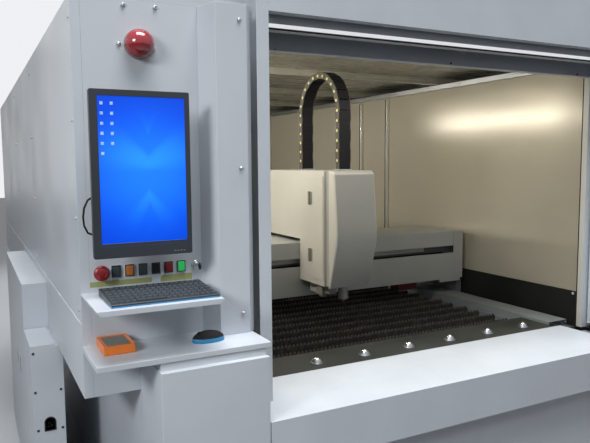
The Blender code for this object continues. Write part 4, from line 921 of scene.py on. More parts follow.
@dataclass(frozen=True)
class ScreenGlow:
    """A lit screen with soft light bands, on a blue ground."""

    name: str
    centre: Point
    deep: Colour = (0.001, 0.042, 0.48)
    mid: Colour = (0.004, 0.105, 0.74)
    pale: Colour = (0.016, 0.215, 0.92)
    strength: float = 0.82

    def material(self) -> bpy.types.Material:
        """Builds the material.

        Returns:
            The material.
        """
        wiring, shader, where = start_material(self.name)
        aim = wiring.add("Mapping", None, Vector=where, Location=tuple(-v for v in self.centre))
        parts = wiring.add("SeparateXYZ", None, Vector=aim.outputs[0])
        wide = wiring.math("ABSOLUTE", parts.outputs["X"])
        high = wiring.math("ABSOLUTE", parts.outputs["Z"])
        away = wiring.add("VectorMath", {"operation": "LENGTH"}, _0=aim.outputs[0]).outputs["Value"]
        glow = wiring.math("SUBTRACT", 1.0, wiring.ramp(away, 0.0, 0.24))
        slope = wiring.math("DIVIDE", parts.outputs["Z"], wiring.math("ADD", wide, 0.05))
        beams = wiring.math("SINE", wiring.math("MULTIPLY", slope, 3.0))
        band = wiring.ramp(beams, -0.2, 1.0)
        fade = wiring.math("SUBTRACT", 1.0, wiring.ramp(high, 0.05, 0.24))
        light = wiring.math("MULTIPLY", wiring.math("MULTIPLY", glow, fade), wiring.scaled(band, 0.6, 0.4))
        ground = wiring.blend(wiring.ramp(away, 0.02, 0.30), opaque(self.mid), opaque(self.deep))
        colour = wiring.blend(light, ground, opaque(self.pale))
        noise = wiring.add("TexNoise", None, Vector=where, Scale=8.0, Detail=2.0)
        rough = wiring.scaled(noise.outputs["Fac"], 0.08, 0.16)
        wiring.feed(shader, Base_Color=colour, Roughness=rough, Specular_IOR_Level=0.2)
        wiring.feed(shader, Emission_Color=colour, Emission_Strength=self.strength)
        return bpy.data.materials[self.name]


class Finish(Enum):
    """The machine's finishes."""

    ENAMEL = Coating(
        "white_powder_enamel", (0.60, 0.635, 0.68), (0.545, 0.58, 0.625), 0.36, relief=0.00006, dust=0.16,
        wear=0.35, bare=(0.36, 0.38, 0.40), reach=0.002
    )
    # Cream enamel of the head covers; on the wall posts' side returns the same cream is painted warm light.
    HEAD = Coating(
        "cream_enamel_and_painted_warm_light", (0.60, 0.59, 0.54), (0.55, 0.54, 0.49), 0.34, relief=0.00004, dust=0.14,
        wear=0.25, bare=(0.40, 0.39, 0.36)
    )
    # A darker copy of the cream cover enamel: painted shade for the head's front faces.
    HEAD_FRONT = Coating(
        "cover_enamel_painted_shade", (0.40, 0.40, 0.365), (0.36, 0.36, 0.33), 0.36, relief=0.00004, dust=0.1
    )
    CHANNEL = Coating("grey_channel_paint", (0.24, 0.24, 0.22), (0.20, 0.20, 0.185), 0.5, dust=0.2)
    BEAM = Coating(
        "gantry_grey_enamel", (0.40, 0.41, 0.40), (0.35, 0.36, 0.35), 0.40, dust=0.3, wear=0.3,
        bare=(0.22, 0.22, 0.22)
    )
    # Brighter than the white enamel: the band clip's own finish, and a painted highlight on the belt strips
    # of the side walls.
    BRIGHT = Coating(
        "bright_clip_enamel_and_painted_highlight", (0.80, 0.82, 0.82), (0.74, 0.76, 0.76), 0.25, relief=0.00003, dust=0.06
    )
    # Inner wall sheet: its satin grey sheen is the sheet's own, and its tan tint is painted warm interior
    # light.
    LINING = Metal(
        "satin_lining_painted_warm_tint", (0.49, 0.45, 0.35), (0.475, 0.435, 0.34), 0.17, stretch=(1.0, 0.02, 1.0),
        scale=420.0, relief=0.00001, metallic=0.15, dust=0.06, gloss_change=0.03
    )
    CEILING = Metal(
        "brushed_ceiling_lining", (0.355, 0.345, 0.275), (0.335, 0.325, 0.258), 0.26,
        stretch=(0.02, 1.0, 1.0), scale=60.0, relief=0.00001, metallic=0.2, dust=0.03, gloss_change=0.03
    )
    POLISHED = Metal(
        "polished_strip_aluminium", (0.88, 0.89, 0.90), (0.82, 0.83, 0.84), 0.14, scale=300.0, dust=0.03,
        gloss_change=0.05
    )
    # Dark liner of the lower walls; on the wall posts' faces behind the returns it is painted shadow in the
    # seam.
    SPLASH = Coating(
        "soot_liner_and_painted_seam_shadow", (0.017, 0.017, 0.015), (0.011, 0.011, 0.010), 0.6, relief=0.0003, grain=120.0,
        dust=0.12, soil=(0.05, 0.042, 0.032), specular=0.2
    )
    DARK_SHEET = Coating(
        "dark_apron_sheet", (0.040, 0.042, 0.038), (0.024, 0.026, 0.023), 0.55, 0.1, relief=0.0002,
        grain=90.0, dust=0.45, soil=(0.085, 0.08, 0.068), wear=0.5, bare=(0.20, 0.20, 0.19), specular=0.25
    )
    BASE = Coating(
        "machine_base_paint", (0.15, 0.155, 0.165), (0.12, 0.125, 0.135), 0.55, relief=0.0002, grain=200.0,
        dust=0.4, wear=0.4, bare=(0.3, 0.3, 0.3)
    )
    BEZEL = Coating(
        "dark_grained_plastic", (0.022, 0.028, 0.036), (0.016, 0.021, 0.028), 0.38, grain=900.0,
        relief=0.00008, dust=0.1
    )
    BLACK = Coating(
        "black_moulded_plastic", (0.013, 0.013, 0.014), (0.009, 0.009, 0.010), 0.55, grain=700.0,
        relief=0.0001, dust=0.12, soil=(0.06, 0.058, 0.055), specular=0.2
    )
    KEYS = Coating(
        "slate_key_caps", (0.042, 0.054, 0.064), (0.03, 0.039, 0.047), 0.34, grain=1200.0, relief=0.00003,
        dust=0.1
    )
    BLUE = Coating("bright_blue_shell", (0.03, 0.23, 0.46), (0.025, 0.19, 0.40), 0.3, grain=900.0, dust=0.05)
    ORANGE = Coating(
        "orange_case_plastic", (0.86, 0.22, 0.03), (0.78, 0.18, 0.025), 0.32, grain=600.0, relief=0.00006,
        dust=0.08
    )
    PANEL_GREY = Coating(
        "taupe_panel_film", (0.17, 0.165, 0.135), (0.14, 0.135, 0.11), 0.4, grain=800.0, dust=0.1
    )
    RED_DOME = Coating(
        "red_dome_lens", (0.34, 0.008, 0.016), (0.28, 0.006, 0.012), 0.10, grain=300.0, relief=0.00002,
        dust=0.04, coat=0.7
    )
    RED_CAP = Coating(
        "red_button_cap", (0.27, 0.008, 0.013), (0.22, 0.006, 0.010), 0.30, grain=500.0, dust=0.06
    )
    RED_MARK = Coating("pale_red_mark", (0.42, 0.06, 0.06), (0.36, 0.05, 0.05), 0.35, grain=500.0, dust=0.04)
    RED_BLOCK = Coating("red_painted_block", (0.16, 0.012, 0.016), (0.12, 0.01, 0.013), 0.5, dust=0.4)
    AMBER = Coating(
        "amber_lens", (0.62, 0.21, 0.03), (0.52, 0.17, 0.025), 0.3, grain=400.0, glow=0.12, dust=0.04
    )
    GREEN = Coating(
        "green_lit_lens", (0.015, 0.36, 0.08), (0.012, 0.30, 0.065), 0.3, grain=400.0, glow=0.7, dust=0.0
    )
    TEAL = Coating("dark_teal_lens", (0.03, 0.055, 0.06), (0.022, 0.042, 0.047), 0.3, grain=400.0, dust=0.04)
    TILE = Coating(
        "pale_screen_tile", (0.36, 0.55, 0.74), (0.20, 0.40, 0.66), 0.3, grain=300.0, patch=90.0, glow=0.35,
        dust=0.0
    )
    BEACON_RING = Coating("grey_teal_ring", (0.16, 0.19, 0.19), (0.13, 0.16, 0.16), 0.35, dust=0.06)
    CHAIN_SIDE = Coating(
        "taupe_chain_plate", (0.085, 0.078, 0.062), (0.06, 0.055, 0.044), 0.5, grain=500.0, dust=0.15,
        soil=(0.14, 0.12, 0.09), specular=0.25
    )
    STRIP = Coating(
        "pale_olive_strip", (0.36, 0.38, 0.15), (0.31, 0.33, 0.13), 0.35, grain=500.0, relief=0.00003,
        dust=0.1
    )
    YELLOW = Coating(
        "yellow_pin_plastic", (0.80, 0.74, 0.22), (0.72, 0.66, 0.18), 0.4, grain=500.0, dust=0.05
    )
    RUBBER = Coating(
        "black_seal_rubber", (0.012, 0.012, 0.012), (0.009, 0.009, 0.009), 0.7, grain=800.0, relief=0.0001,
        dust=0.15, soil=(0.08, 0.08, 0.08), specular=0.25
    )
    LAMP = Coating("warm_lamp_diffuser", (0.95, 0.90, 0.78), (0.9, 0.85, 0.72), 0.5, glow=2.5, dust=0.0)
    STEEL = Metal("brushed_rail_steel", (0.52, 0.53, 0.54), (0.42, 0.43, 0.44), 0.28)
    COVER_STEEL = Metal(
        "zinc_cover_sheet", (0.30, 0.32, 0.32), (0.24, 0.26, 0.26), 0.42, stretch=(1.0, 0.05, 1.0),
        scale=180.0, metallic=0.25, dust=0.3
    )
    SCREW = Metal(
        "zinc_plated_screw", (0.50, 0.52, 0.54), (0.38, 0.40, 0.42), 0.28, stretch=(1.0, 1.0, 1.0),
        scale=700.0, dust=0.05
    )
    CHROME = Metal(
        "polished_ball_steel", (0.80, 0.81, 0.82), (0.70, 0.71, 0.72), 0.08, stretch=(1.0, 1.0, 1.0),
        scale=300.0, relief=0.000005, dust=0.02
    )
    BRASS = Metal(
        "copper_nozzle_alloy", (0.60, 0.32, 0.14), (0.48, 0.25, 0.11), 0.26, stretch=(0.05, 0.05, 1.0),
        dust=0.1
    )
    SLAT = ScaledSteel("scaled_slat_steel", 0.742)


def dress(piece: bpy.types.Object, finish: Finish) -> bpy.types.Object:
    """Gives a piece one finish all over.

    Args:
        piece: the piece.
        finish: the finish.

    Returns:
        The same piece.
    """
    piece.data.materials.clear()
    piece.data.materials.append(finish.value.material())
    return piece


def paint(
    piece: bpy.types.Object, finishes: Sequence[Finish], choose: Callable[[bpy.types.MeshPolygon], Finish]
) -> None:
    """Gives each face of a piece one of several finishes.

    Args:
        piece: the piece.
        finishes: the finishes, in the order of its material slots.
        choose: picks a face's finish.
    """
    piece.data.materials.clear()
    for finish in finishes:
        piece.data.materials.append(finish.value.material())
    for face in piece.data.polygons:
        face.material_index = finishes.index(choose(face))


def finish_piece(piece: bpy.types.Object, finish: Finish, body: str, *nodes: str) -> bpy.types.Object:
    """Dresses a piece, makes it ride on a body and hides the nodes that it stands for.

    Args:
        piece: the piece.
        finish: its finish.
        body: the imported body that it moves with.
        nodes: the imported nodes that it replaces.

    Returns:
        The same piece.
    """
    dress(piece, finish)
    if nodes:
        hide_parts(*nodes)
    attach(piece, body)
    LOG.info("piece %s on %s", piece.name, body)
    return piece


def dress_nodes(finish: Finish, *nodes: str) -> None:
    """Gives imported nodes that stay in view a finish.

    Args:
        finish: the finish.
        nodes: the nodes' names.
    """
    for node in nodes:
        item = frame["nodes"][node]
        item.data.materials.clear()
        item.data.materials.append(finish.value.material())


@dataclass
class ScrewHead:
    """A button-head screw with a socket, modelled once and copied."""

    radius: float = 0.006
    height: float = 0.0035
    socket: float = 0.0026

    def rows(self, seat: float) -> list[Flat]:
        """The head's profile above a seat height.

        Args:
            seat: the height of the face that the head sits on.

        Returns:
            (radius, height) points from the socket outwards.
        """
        dome = [(r, seat + h) for r, h in arc((0, 0), self.radius, 68, 0, 4)]
        scale = self.height / self.radius
        dome = [(r, seat + (h - seat) * scale) for r, h in dome]
        low = seat + self.height * 0.35
        return [
            (0.0001, low), (self.socket * 0.9, low), (self.socket, dome[0][1])
        ] + dome + [(self.radius, seat), (0.0001, seat)]

    def row(
        self, name: str, places: Sequence[Point], facing: Way, body: str, finish: Finish = Finish.SCREW
    ) -> bpy.types.Object:
        """Makes a group of screws.

        Args:
            name: the group's name.
            places: where each screw sits, in machine coordinates.
            facing: the direction that the heads look in.
            body: the body that they ride on.
            finish: their finish.

        Returns:
            The joined piece.
        """
        first = Vector(places[0])
        model = Bench.lathe(name + "_model", places[0], facing, self.rows(0.0002), 14)
        moves = [moved(*(Vector(p) - first)) for p in places]
        piece = Bench.repeat(name, model, moves)
        Bench.smooth(piece)
        return finish_piece(piece, finish, body)


@dataclass
class Enclosure:
    """Outer sheet metal: side walls, skirts, rear wall, roof and their screws."""

    edge: float = 0.0012
    top: float = 2.125
    right: float = 2.974
    rear: float = 4.55
    tray_depth: float = 0.0425
    ceiling_half_width: float = 1.40
    screw: ScrewHead = field(default_factory=ScrewHead)

    def build(self) -> None:
        """Builds and dresses the enclosure."""
        for node in (
            "left_side_panels", "right_side_panels", "left_skirt", "right_skirt", "front_skirt", "rear_wall"
        ):
            dress(Bench.refined(node, node + "_sheet", self.edge), Finish.ENAMEL)
        for node in ("console_cabinet", "right_front_panel"):
            dress(Bench.refined(node, node + "_sheet", self.edge, 3), Finish.ENAMEL)
        self.roof()
        self.service_box()
        self.wall_screws()
        self.rear_details()
        dress_nodes(Finish.BASE, "base_frame")
        dress(Bench.refined("laser_source", "laser_source_case", 0.0013), Finish.BLACK)

    def roof(self) -> None:
        """The roof tray, enamelled outside and lined inside."""
        piece = Bench.refined("roof", "roof_sheet", self.edge)
        paint(piece, (Finish.ENAMEL, Finish.CEILING), self.roof_finish)

    def roof_finish(self, face: bpy.types.MeshPolygon) -> Finish:
        """Picks the finish of a face of the roof.

        Args:
            face: the face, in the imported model's frame.

        Returns:
            The ceiling's lining for faces under the tray that don't look up, and enamel for the others.
        """
        x, y, z = face.center - SHIFT
        under = z < self.top + self.tray_depth and y < self.rear - 0.10
        inside = abs(x + SHIFT.x) < self.ceiling_half_width
        return Finish.CEILING if under and inside and face.normal.z < 0.5 else Finish.ENAMEL

    def service_box(self) -> None:
        """The box on the left side, with screws on its front and cables in its arch."""
        dress(Bench.refined("service_box", "service_box_sheet", self.edge), Finish.ENAMEL)
        x, z, front = -0.042, 0.515, 0.79
        rim = [
            (x + u, z + v) for u, v in arc((0, 0), 0.0235, 0, 180, 12)
        ] + [(x - 0.0235, 0.4775), (x + 0.0235, 0.4775)]
        hole = [
            (x + u, z + v) for u, v in arc((0, 0), 0.0185, 0, 180, 12)
        ] + [(x - 0.0185, 0.4815), (x + 0.0185, 0.4815)]
        grommet = Bench.prism("arch_grommet", Plane.XZ, rim, (front - 0.0025, front - 0.0003))
        Bench.carve(grommet, [Bench.prism("hole", Plane.XZ, hole, (front - 0.01, front + 0.01))])
        finish_piece(Bench.round_all(grommet, 0.0006, 2), Finish.RUBBER, "base")
        cables = [
            Bench.drum("cable", (x + u, front + 0.10, 0.4905 + w), Way.REAR, 0.006, 0.16, 20) for u,
            w in ((-0.010, 0.0), (0.006, 0.001), (-0.002, 0.012))
        ]
        finish_piece(
            Bench.weld("arch_cables", [Bench.round_all(c, 0.001, 2) for c in cables]), Finish.RUBBER, "base"
        )
        places = [(-0.097, 0.818), (-0.095, 0.651), (-0.090, 0.485), (0.006, 0.650), (0.007, 0.482)]
        ScrewHead(0.0058, 0.003).row(
            "service_box_screws", [(u, front, v) for u, v in places], Way.FRONT, "base", Finish.BEZEL
        )

    def wall_screws(self) -> None:
        """Rows of screws along the panel seams of the side walls."""
        left = []
        right = []
        for seam in (0.13, 1.49, 1.55, 2.64, 2.70, 4.46):
            for height in (1.13, 1.43, 1.74, 2.06):
                left.append((0.0, seam, height))
                right.append((self.right, seam, height))
        self.screw.row("left_wall_screws", left, Way.LEFT, "base")
        self.screw.row("right_wall_screws", right, Way.RIGHT, "base")
        # Thin strips along the belt seam of both side walls, brighter than the wall enamel: a painted
        # highlight of the ledge's lit top edge.
        trims = []
        for x in ((-0.0012, 0.0006), (self.right - 0.0006, self.right + 0.0012)):
            trims.append(Bench.slab("trim", (x[0], 0.100, 1.0870), (x[1], 4.516, 1.0885), 0.0004, 2))
        finish_piece(Bench.weld("belt_ledge_painted_highlights", trims), Finish.BRIGHT, "base")
        fascia = Bench.slab(
            "console_top_fascia", (0.0004, 0.0962, 2.1254), (0.5655, 0.0992, 2.1700), 0.0005, 2
        )
        finish_piece(fascia, Finish.ENAMEL, "base")

    def rear_details(self) -> None:
        """Two cover plates with louvres and the screws of the rear wall."""
        for index, middle in enumerate((0.80, 2.17)):
            low = (middle - 0.42, self.rear - 0.0004, 0.98)
            high = (middle + 0.42, self.rear + 0.0026, 2.02)
            plate = Bench.box(f"rear_cover_plate_{index + 1}", low, high)
            slots = []
            for height in spread(1.22, 1.50, 8):
                slots.append(
                    Bench.box(
                        "slot", (middle - 0.16, self.rear - 0.01, height),
                        (middle + 0.16, self.rear + 0.01, height + 0.008)
                    )
                )
            Bench.carve(plate, slots)
            finish_piece(Bench.round_all(plate, 0.001, 2), Finish.ENAMEL, "base")
            self.screw.row(
                f"rear_plate_screws_{index + 1}",
                [
                    (middle + dx, self.rear + 0.0026, z) for dx in (-0.40, 0.0, 0.40)
                    for z in (1.0, 1.5, 2.0) if not (dx == 0.0 and z == 1.5)
                ],
                Way.REAR,
                "base",
            )


@dataclass
class Portal:
    """Door portal: jambs, header, sill and the lift door with its bar."""

    edge: float = 0.0013
    left: float = 0.630
    right: float = 2.565
    bar_bottom: float = 2.065
    bar_top: float = 2.088
    bar_front: float = 0.053
    band_y: float = 0.197

    def build(self) -> None:
        """Builds and dresses the portal."""
        for node in ("portal_jamb_left", "portal_jamb_right", "portal_header", "front_sill"):
            dress(Bench.refined(node, node + "_sheet", self.edge, 3), Finish.ENAMEL)
        dress(Bench.refined("door_lower_leaf", "door_lower_sheet", self.edge, 3), Finish.ENAMEL)
        dress(Bench.refined("door_upper_leaf", "door_upper_sheet", self.edge, 2), Finish.ENAMEL)
        self.door_bar()
        self.work_lamp()
        bolts = [(x, self.band_y, z) for x, z in ((0.747, 2.024), (1.605, 2.032), (2.420, 2.030))]
        ScrewHead(0.005, 0.003).row("header_band_bolts", bolts, Way.FRONT, "base", Finish.BLACK)
        clip = Bench.box("band_clip", (1.650, 0.1905, 2.072), (1.684, 0.1968, 2.090))
        Bench.sink(clip, Way.FRONT, 0.003, 0.0015)
        finish_piece(Bench.round_all(clip, 0.0008, 2), Finish.BRIGHT, "base")

    def door_bar(self) -> None:
        """Bright strip, seal and corner gussets of the door's bottom bar."""
        front, low, high = self.bar_front, self.bar_bottom, self.bar_top
        seal = Bench.slab(
            "door_seal", (self.left + 0.010, front - 0.0012, low + 0.0002),
            (self.right - 0.010, front + 0.0006, low + 0.0060), 0.0005, 2
        )
        finish_piece(seal, Finish.RUBBER, "door_lower")
        strip = Bench.slab(
            "door_bar_strip", (self.left + 0.022, front - 0.0018, low + 0.0070),
            (self.right - 0.008, front + 0.0004, high - 0.0015), 0.0007, 2
        )
        finish_piece(strip, Finish.POLISHED, "door_lower")
        plates = []
        for x, way in ((self.left + 0.004, 1), (self.right - 0.004, -1)):
            shape = [(x, high - 0.001), (x + way * 0.050, high - 0.001), (x, high + 0.046)]
            plate = Bench.prism("gusset", Plane.XZ, shape, (front - 0.0022, front + 0.0004))
            hole = Bench.drum("hole", (x + way * 0.015, front, high + 0.012), Way.FRONT, 0.006, 0.02, 20)
            plates.append(Bench.carve(plate, [hole]))
        finish_piece(
            Bench.round_all(Bench.weld("door_bar_gussets", plates), 0.0006, 2), Finish.ENAMEL, "door_lower"
        )
        # Flat black discs filling the gussets' holes: painted shade inside the holes.
        dots = [
            (self.left + 0.019, front + 0.0006, high + 0.012),
            (self.right - 0.019, front + 0.0006, high + 0.012)
        ]
        ScrewHead(0.0055, 0.0008, 0.0020).row("gusset_hole_shade_discs", dots, Way.FRONT, "door_lower", Finish.RUBBER)

    def work_lamp(self) -> None:
        """Work lamp along the top of the left inner wall, lighting the bed."""
        housing = Bench.box("work_lamp_housing", (0.3610, 1.90, 2.020), (0.4000, 4.10, 2.086))
        Bench.sink(housing, Way.RIGHT, 0.005, 0.004)
        finish_piece(Bench.round_all(housing, 0.002, 2), Finish.STEEL, "base")
        tube = Bench.slab("work_lamp_diffuser", (0.3965, 1.906, 2.0260), (0.3990, 4.094, 2.0800), 0.0008, 2)
        finish_piece(tube, Finish.LAMP, "base")


@dataclass
class CuttingRoom:
    """Inner walls, their bolts and rails, the slat bed and the sheet apron."""

    wall: float = 1.128
    liner_top: float = 0.890
    post_rear: float = 0.300
    return_rear: float = 0.245
    foot_top: float = 0.790
    rail_bottom: float = 2.094
    slat_first: float = 0.50
    slat_pitch: float = 0.112
    slat_count: int = 14
    slat_reach: float = 0.829
    slat_tip: float = 0.745
    slat_base: float = 0.650
    slat_stagger: float = 0.006
    posts: tuple[float, ...] = (2.07, 2.43, 4.20)
    liner_bolts: tuple[float, ...] = (0.327, 1.20, 2.24, 3.28, 4.30)
    tooth_pitch: float = 0.0205
    tooth_depth: float = 0.019
    ball_pitch: float = 0.247
    ball_y: float = 0.324
    ball_z: float = 0.7523

    def build(self) -> None:
        """Builds and dresses the cutting room."""
        self.walls()
        self.slats()
        self.apron()
        for node in ("left_rail_cover", "right_rail_cover"):
            dress(Bench.refined(node, node + "_sheet", 0.0008), Finish.COVER_STEEL)
        dress_nodes(Finish.DARK_SHEET, "scrap_tray")

    def walls(self) -> None:
        """Lined walls with dark splash liners, a bright top rail, posts and bolts."""
        finishes = (Finish.LINING, Finish.SPLASH, Finish.STEEL, Finish.ENAMEL, Finish.HEAD, Finish.BASE)
        for side, sign in (("left", -1), ("right", 1)):
            piece = Bench.refined(side + "_inner_wall", side + "_wall_lining", 0.0008)
            paint(piece, finishes, self.wall_finish)
            face_x = BED_CENTRE + sign * (self.wall - 0.006)
            inward = Way.LEFT if sign > 0 else Way.RIGHT
            bolts = [(face_x, y, self.liner_top - 0.012) for y in self.liner_bolts]
            ScrewHead(0.008, 0.005).row(side + "_liner_bolts", bolts, inward, "base", Finish.ENAMEL)
            rail_x = BED_CENTRE + sign * (self.wall - 0.030)
            top = [(rail_x, y, 2.110) for y in spread(0.45, 4.30, 6)]
            ScrewHead(0.006, 0.003).row(side + "_rail_bolts", top, inward, "base")
            self.dark_joints(side, sign)

    def wall_finish(self, face: bpy.types.MeshPolygon) -> Finish:
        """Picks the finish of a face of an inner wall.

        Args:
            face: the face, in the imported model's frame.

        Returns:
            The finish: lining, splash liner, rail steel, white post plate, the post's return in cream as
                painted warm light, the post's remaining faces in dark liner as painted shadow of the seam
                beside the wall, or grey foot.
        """
        y, z = face.center.y - SHIFT.y, face.center.z
        if y < self.post_rear:
            if z < self.foot_top:
                return Finish.BASE
            if face.normal.y < -0.5:
                return Finish.ENAMEL
            # A post's side return is painted cream for the warm interior light on it; its other faces take
            # the dark liner as painted shadow in the seam beside the wall.
            return Finish.HEAD if abs(face.normal.x) > 0.5 and y < self.return_rear else Finish.SPLASH
        if z < self.liner_top + 0.004:
            return Finish.SPLASH
        return Finish.STEEL if z > self.rail_bottom else Finish.LINING

    def dark_joints(self, side: str, sign: int) -> None:
        """Bright strips down the middles of the wall's posts, with a dark joint behind each.

        Args:
            side: left or right, for the pieces' names.
            sign: -1 for the left wall and 1 for the right one.
        """
        bright, dark = [], []
        for y in self.posts:
            x = BED_CENTRE + sign * (self.wall - 0.010)
            for pieces, first, last in ((bright, y - 0.016, y - 0.002), (dark, y + 0.001, y + 0.009)):
                low = (min(x, x - sign * 0.0014), first, self.liner_top + 0.006)
                high = (max(x, x - sign * 0.0014), last, 2.080)
                pieces.append(Bench.slab("joint", low, high, 0.0004, 1))
        finish_piece(Bench.weld(side + "_post_strips", bright), Finish.POLISHED, "base")
        finish_piece(Bench.weld(side + "_wall_joints", dark), Finish.SPLASH, "base")

    def slat_outline(self) -> list[Flat]:
        """Toothed outline of one slat in X and Z.

        Returns:
            The outline, with worn teeth along its top.
        """
        left, right = BED_CENTRE - self.slat_reach, BED_CENTRE + self.slat_reach
        teeth = int((right - left) / self.tooth_pitch)
        start = BED_CENTRE - teeth * self.tooth_pitch / 2
        points = [(left, self.slat_base), (right, self.slat_base), (right, self.slat_tip - self.tooth_depth)]
        for index in reversed(range(teeth)):
            middle = start + (index + 0.5) * self.tooth_pitch
            worn = 0.0035 * (0.5 + 0.5 * math.sin(index * 12.9898))
            points.append((middle + 0.003, self.slat_tip - worn))
            points.append((middle - 0.003, self.slat_tip - worn * 0.6))
            points.append((middle - self.tooth_pitch / 2, self.slat_tip - self.tooth_depth))
        points[-1] = (left, self.slat_tip - self.tooth_depth)
        return points

    def slats(self) -> None:
        """Both banks of toothed slats with their comb bars."""
        for bank, node in enumerate(("slat_bank_front", "slat_bank_rear")):
            first = self.slat_first + bank * self.slat_count * self.slat_pitch
            model = Bench.prism("slat_model", Plane.XZ, self.slat_outline(), (first - 0.002, first + 0.002))
            aside = (-self.slat_stagger, self.slat_stagger)
            moves = [moved(aside[i % 2], i * self.slat_pitch, 0) for i in range(self.slat_count)]
            slats = Bench.repeat(node + "_slats", model, moves)
            combs = []
            last = first + (self.slat_count - 1) * self.slat_pitch
            margin = self.slat_pitch / 3
            for x in (BED_CENTRE - self.slat_reach - 0.001, BED_CENTRE + self.slat_reach - 0.029):
                low = (x, first - margin, 0.6204)
                high = (x + 0.030, last + margin, 0.6621)
                combs.append(Bench.slab("comb", low, high, 0.001, 2))
            bank_piece = Bench.weld(node + "_teeth", [slats, *combs])
            finish_piece(bank_piece, Finish.SLAT, "base", node)

    def apron(self) -> None:
        """The dark sheet behind the sill, with bright rings round the ball transfers."""
        dress_nodes(Finish.DARK_SHEET, "sheet_apron")
        first = BED_CENTRE - 3 * self.ball_pitch
        rows = [
            (0.0155, 0.7576),
            (0.0198, 0.7572),
            (0.0208, 0.7550),
            (0.0222, 0.7475),
            (0.0278, 0.7466),
            (0.0285, 0.7452),
            (0.0285, 0.7424),
            (0.0270, 0.7424),
            (0.0270, 0.7456),
            (0.0202, 0.7458),
            (0.0200, 0.7571),
            (0.0155, 0.7571),
            (0.0155, 0.7576),
        ]
        model = Bench.lathe("ring_model", (first, self.ball_y, 0.0), Way.UP, rows, 32)
        rings = Bench.repeat(
            "ball_transfer_rings", model, [moved(i * self.ball_pitch, 0, 0) for i in range(7)]
        )
        finish_piece(Bench.smooth(rings), Finish.SCREW, "base")
        for index in range(7):
            self.ball(index, first + index * self.ball_pitch)

    def ball(self, index: int, x: float) -> None:
        """One transfer ball, smooth, in place of the faceted one.

        Args:
            index: the ball's number, from 0.
            x: where it sits along the sill.
        """
        Bench.clear()
        centre = place(x, self.ball_y, self.ball_z)
        bpy.ops.mesh.primitive_ico_sphere_add(subdivisions=4, radius=0.01495, location=centre)
        ball = Bench.settle(bpy.context.object)
        ball.name = f"transfer_ball_{index + 1}_polished"
        Bench.smooth(ball, 60)
        finish_piece(ball, Finish.CHROME, f"ball_{index + 1}", f"transfer_ball_{index + 1}")


@dataclass
class Gantry:
    """Cross beam with its covers, strip and screws."""

    face: float = 1.147
    slot_low: float = 1.011
    slot_high: float = 1.058

    def build(self) -> None:
        """Builds and dresses the gantry."""
        dress_nodes(Finish.BASE, "gantry_beam")
        for node in ("beam_upper_cover", "beam_lower_cover"):
            dress(Bench.refined(node, node + "_sheet", 0.0013, 3), Finish.BEAM)
        span = (BED_CENTRE - 0.94, BED_CENTRE + 0.94)
        strip = Bench.slab(
            "slot_strip", (span[0], self.face + 0.0525, self.slot_low + 0.014),
            (2.285, self.face + 0.0545, self.slot_high - 0.010), 0.0005, 2
        )
        finish_piece(strip, Finish.HEAD, "gantry")
        rack = Bench.box(
            "slot_rack", (span[0], self.face + 0.040, self.slot_low - 0.020),
            (span[1], self.face + 0.052, self.slot_low + 0.004)
        )
        Bench.sink(rack, Way.UP, 0.002, 0.002)
        finish_piece(Bench.round_all(rack, 0.0006, 2), Finish.BLACK, "gantry")
        screws = [(2.492, self.face - 0.0012, 0.949), (0.482, self.face - 0.0012, 0.949)]
        ScrewHead(0.006, 0.003).row("end_cap_screws", screws, Way.FRONT, "gantry")
        screws = [(x, self.face, z) for x in (0.56, 1.05, 1.92, 2.40) for z in (0.862, 1.135)]
        ScrewHead(0.0045, 0.0025).row("beam_cover_screws", screws, Way.FRONT, "gantry")
        block = Bench.slab(
            "red_buffer_block", (2.09, self.face + 0.060, 0.787), (2.24, self.face + 0.150, 0.8416), 0.006,
            3
        )
        finish_piece(block, Finish.RED_BLOCK, "gantry")


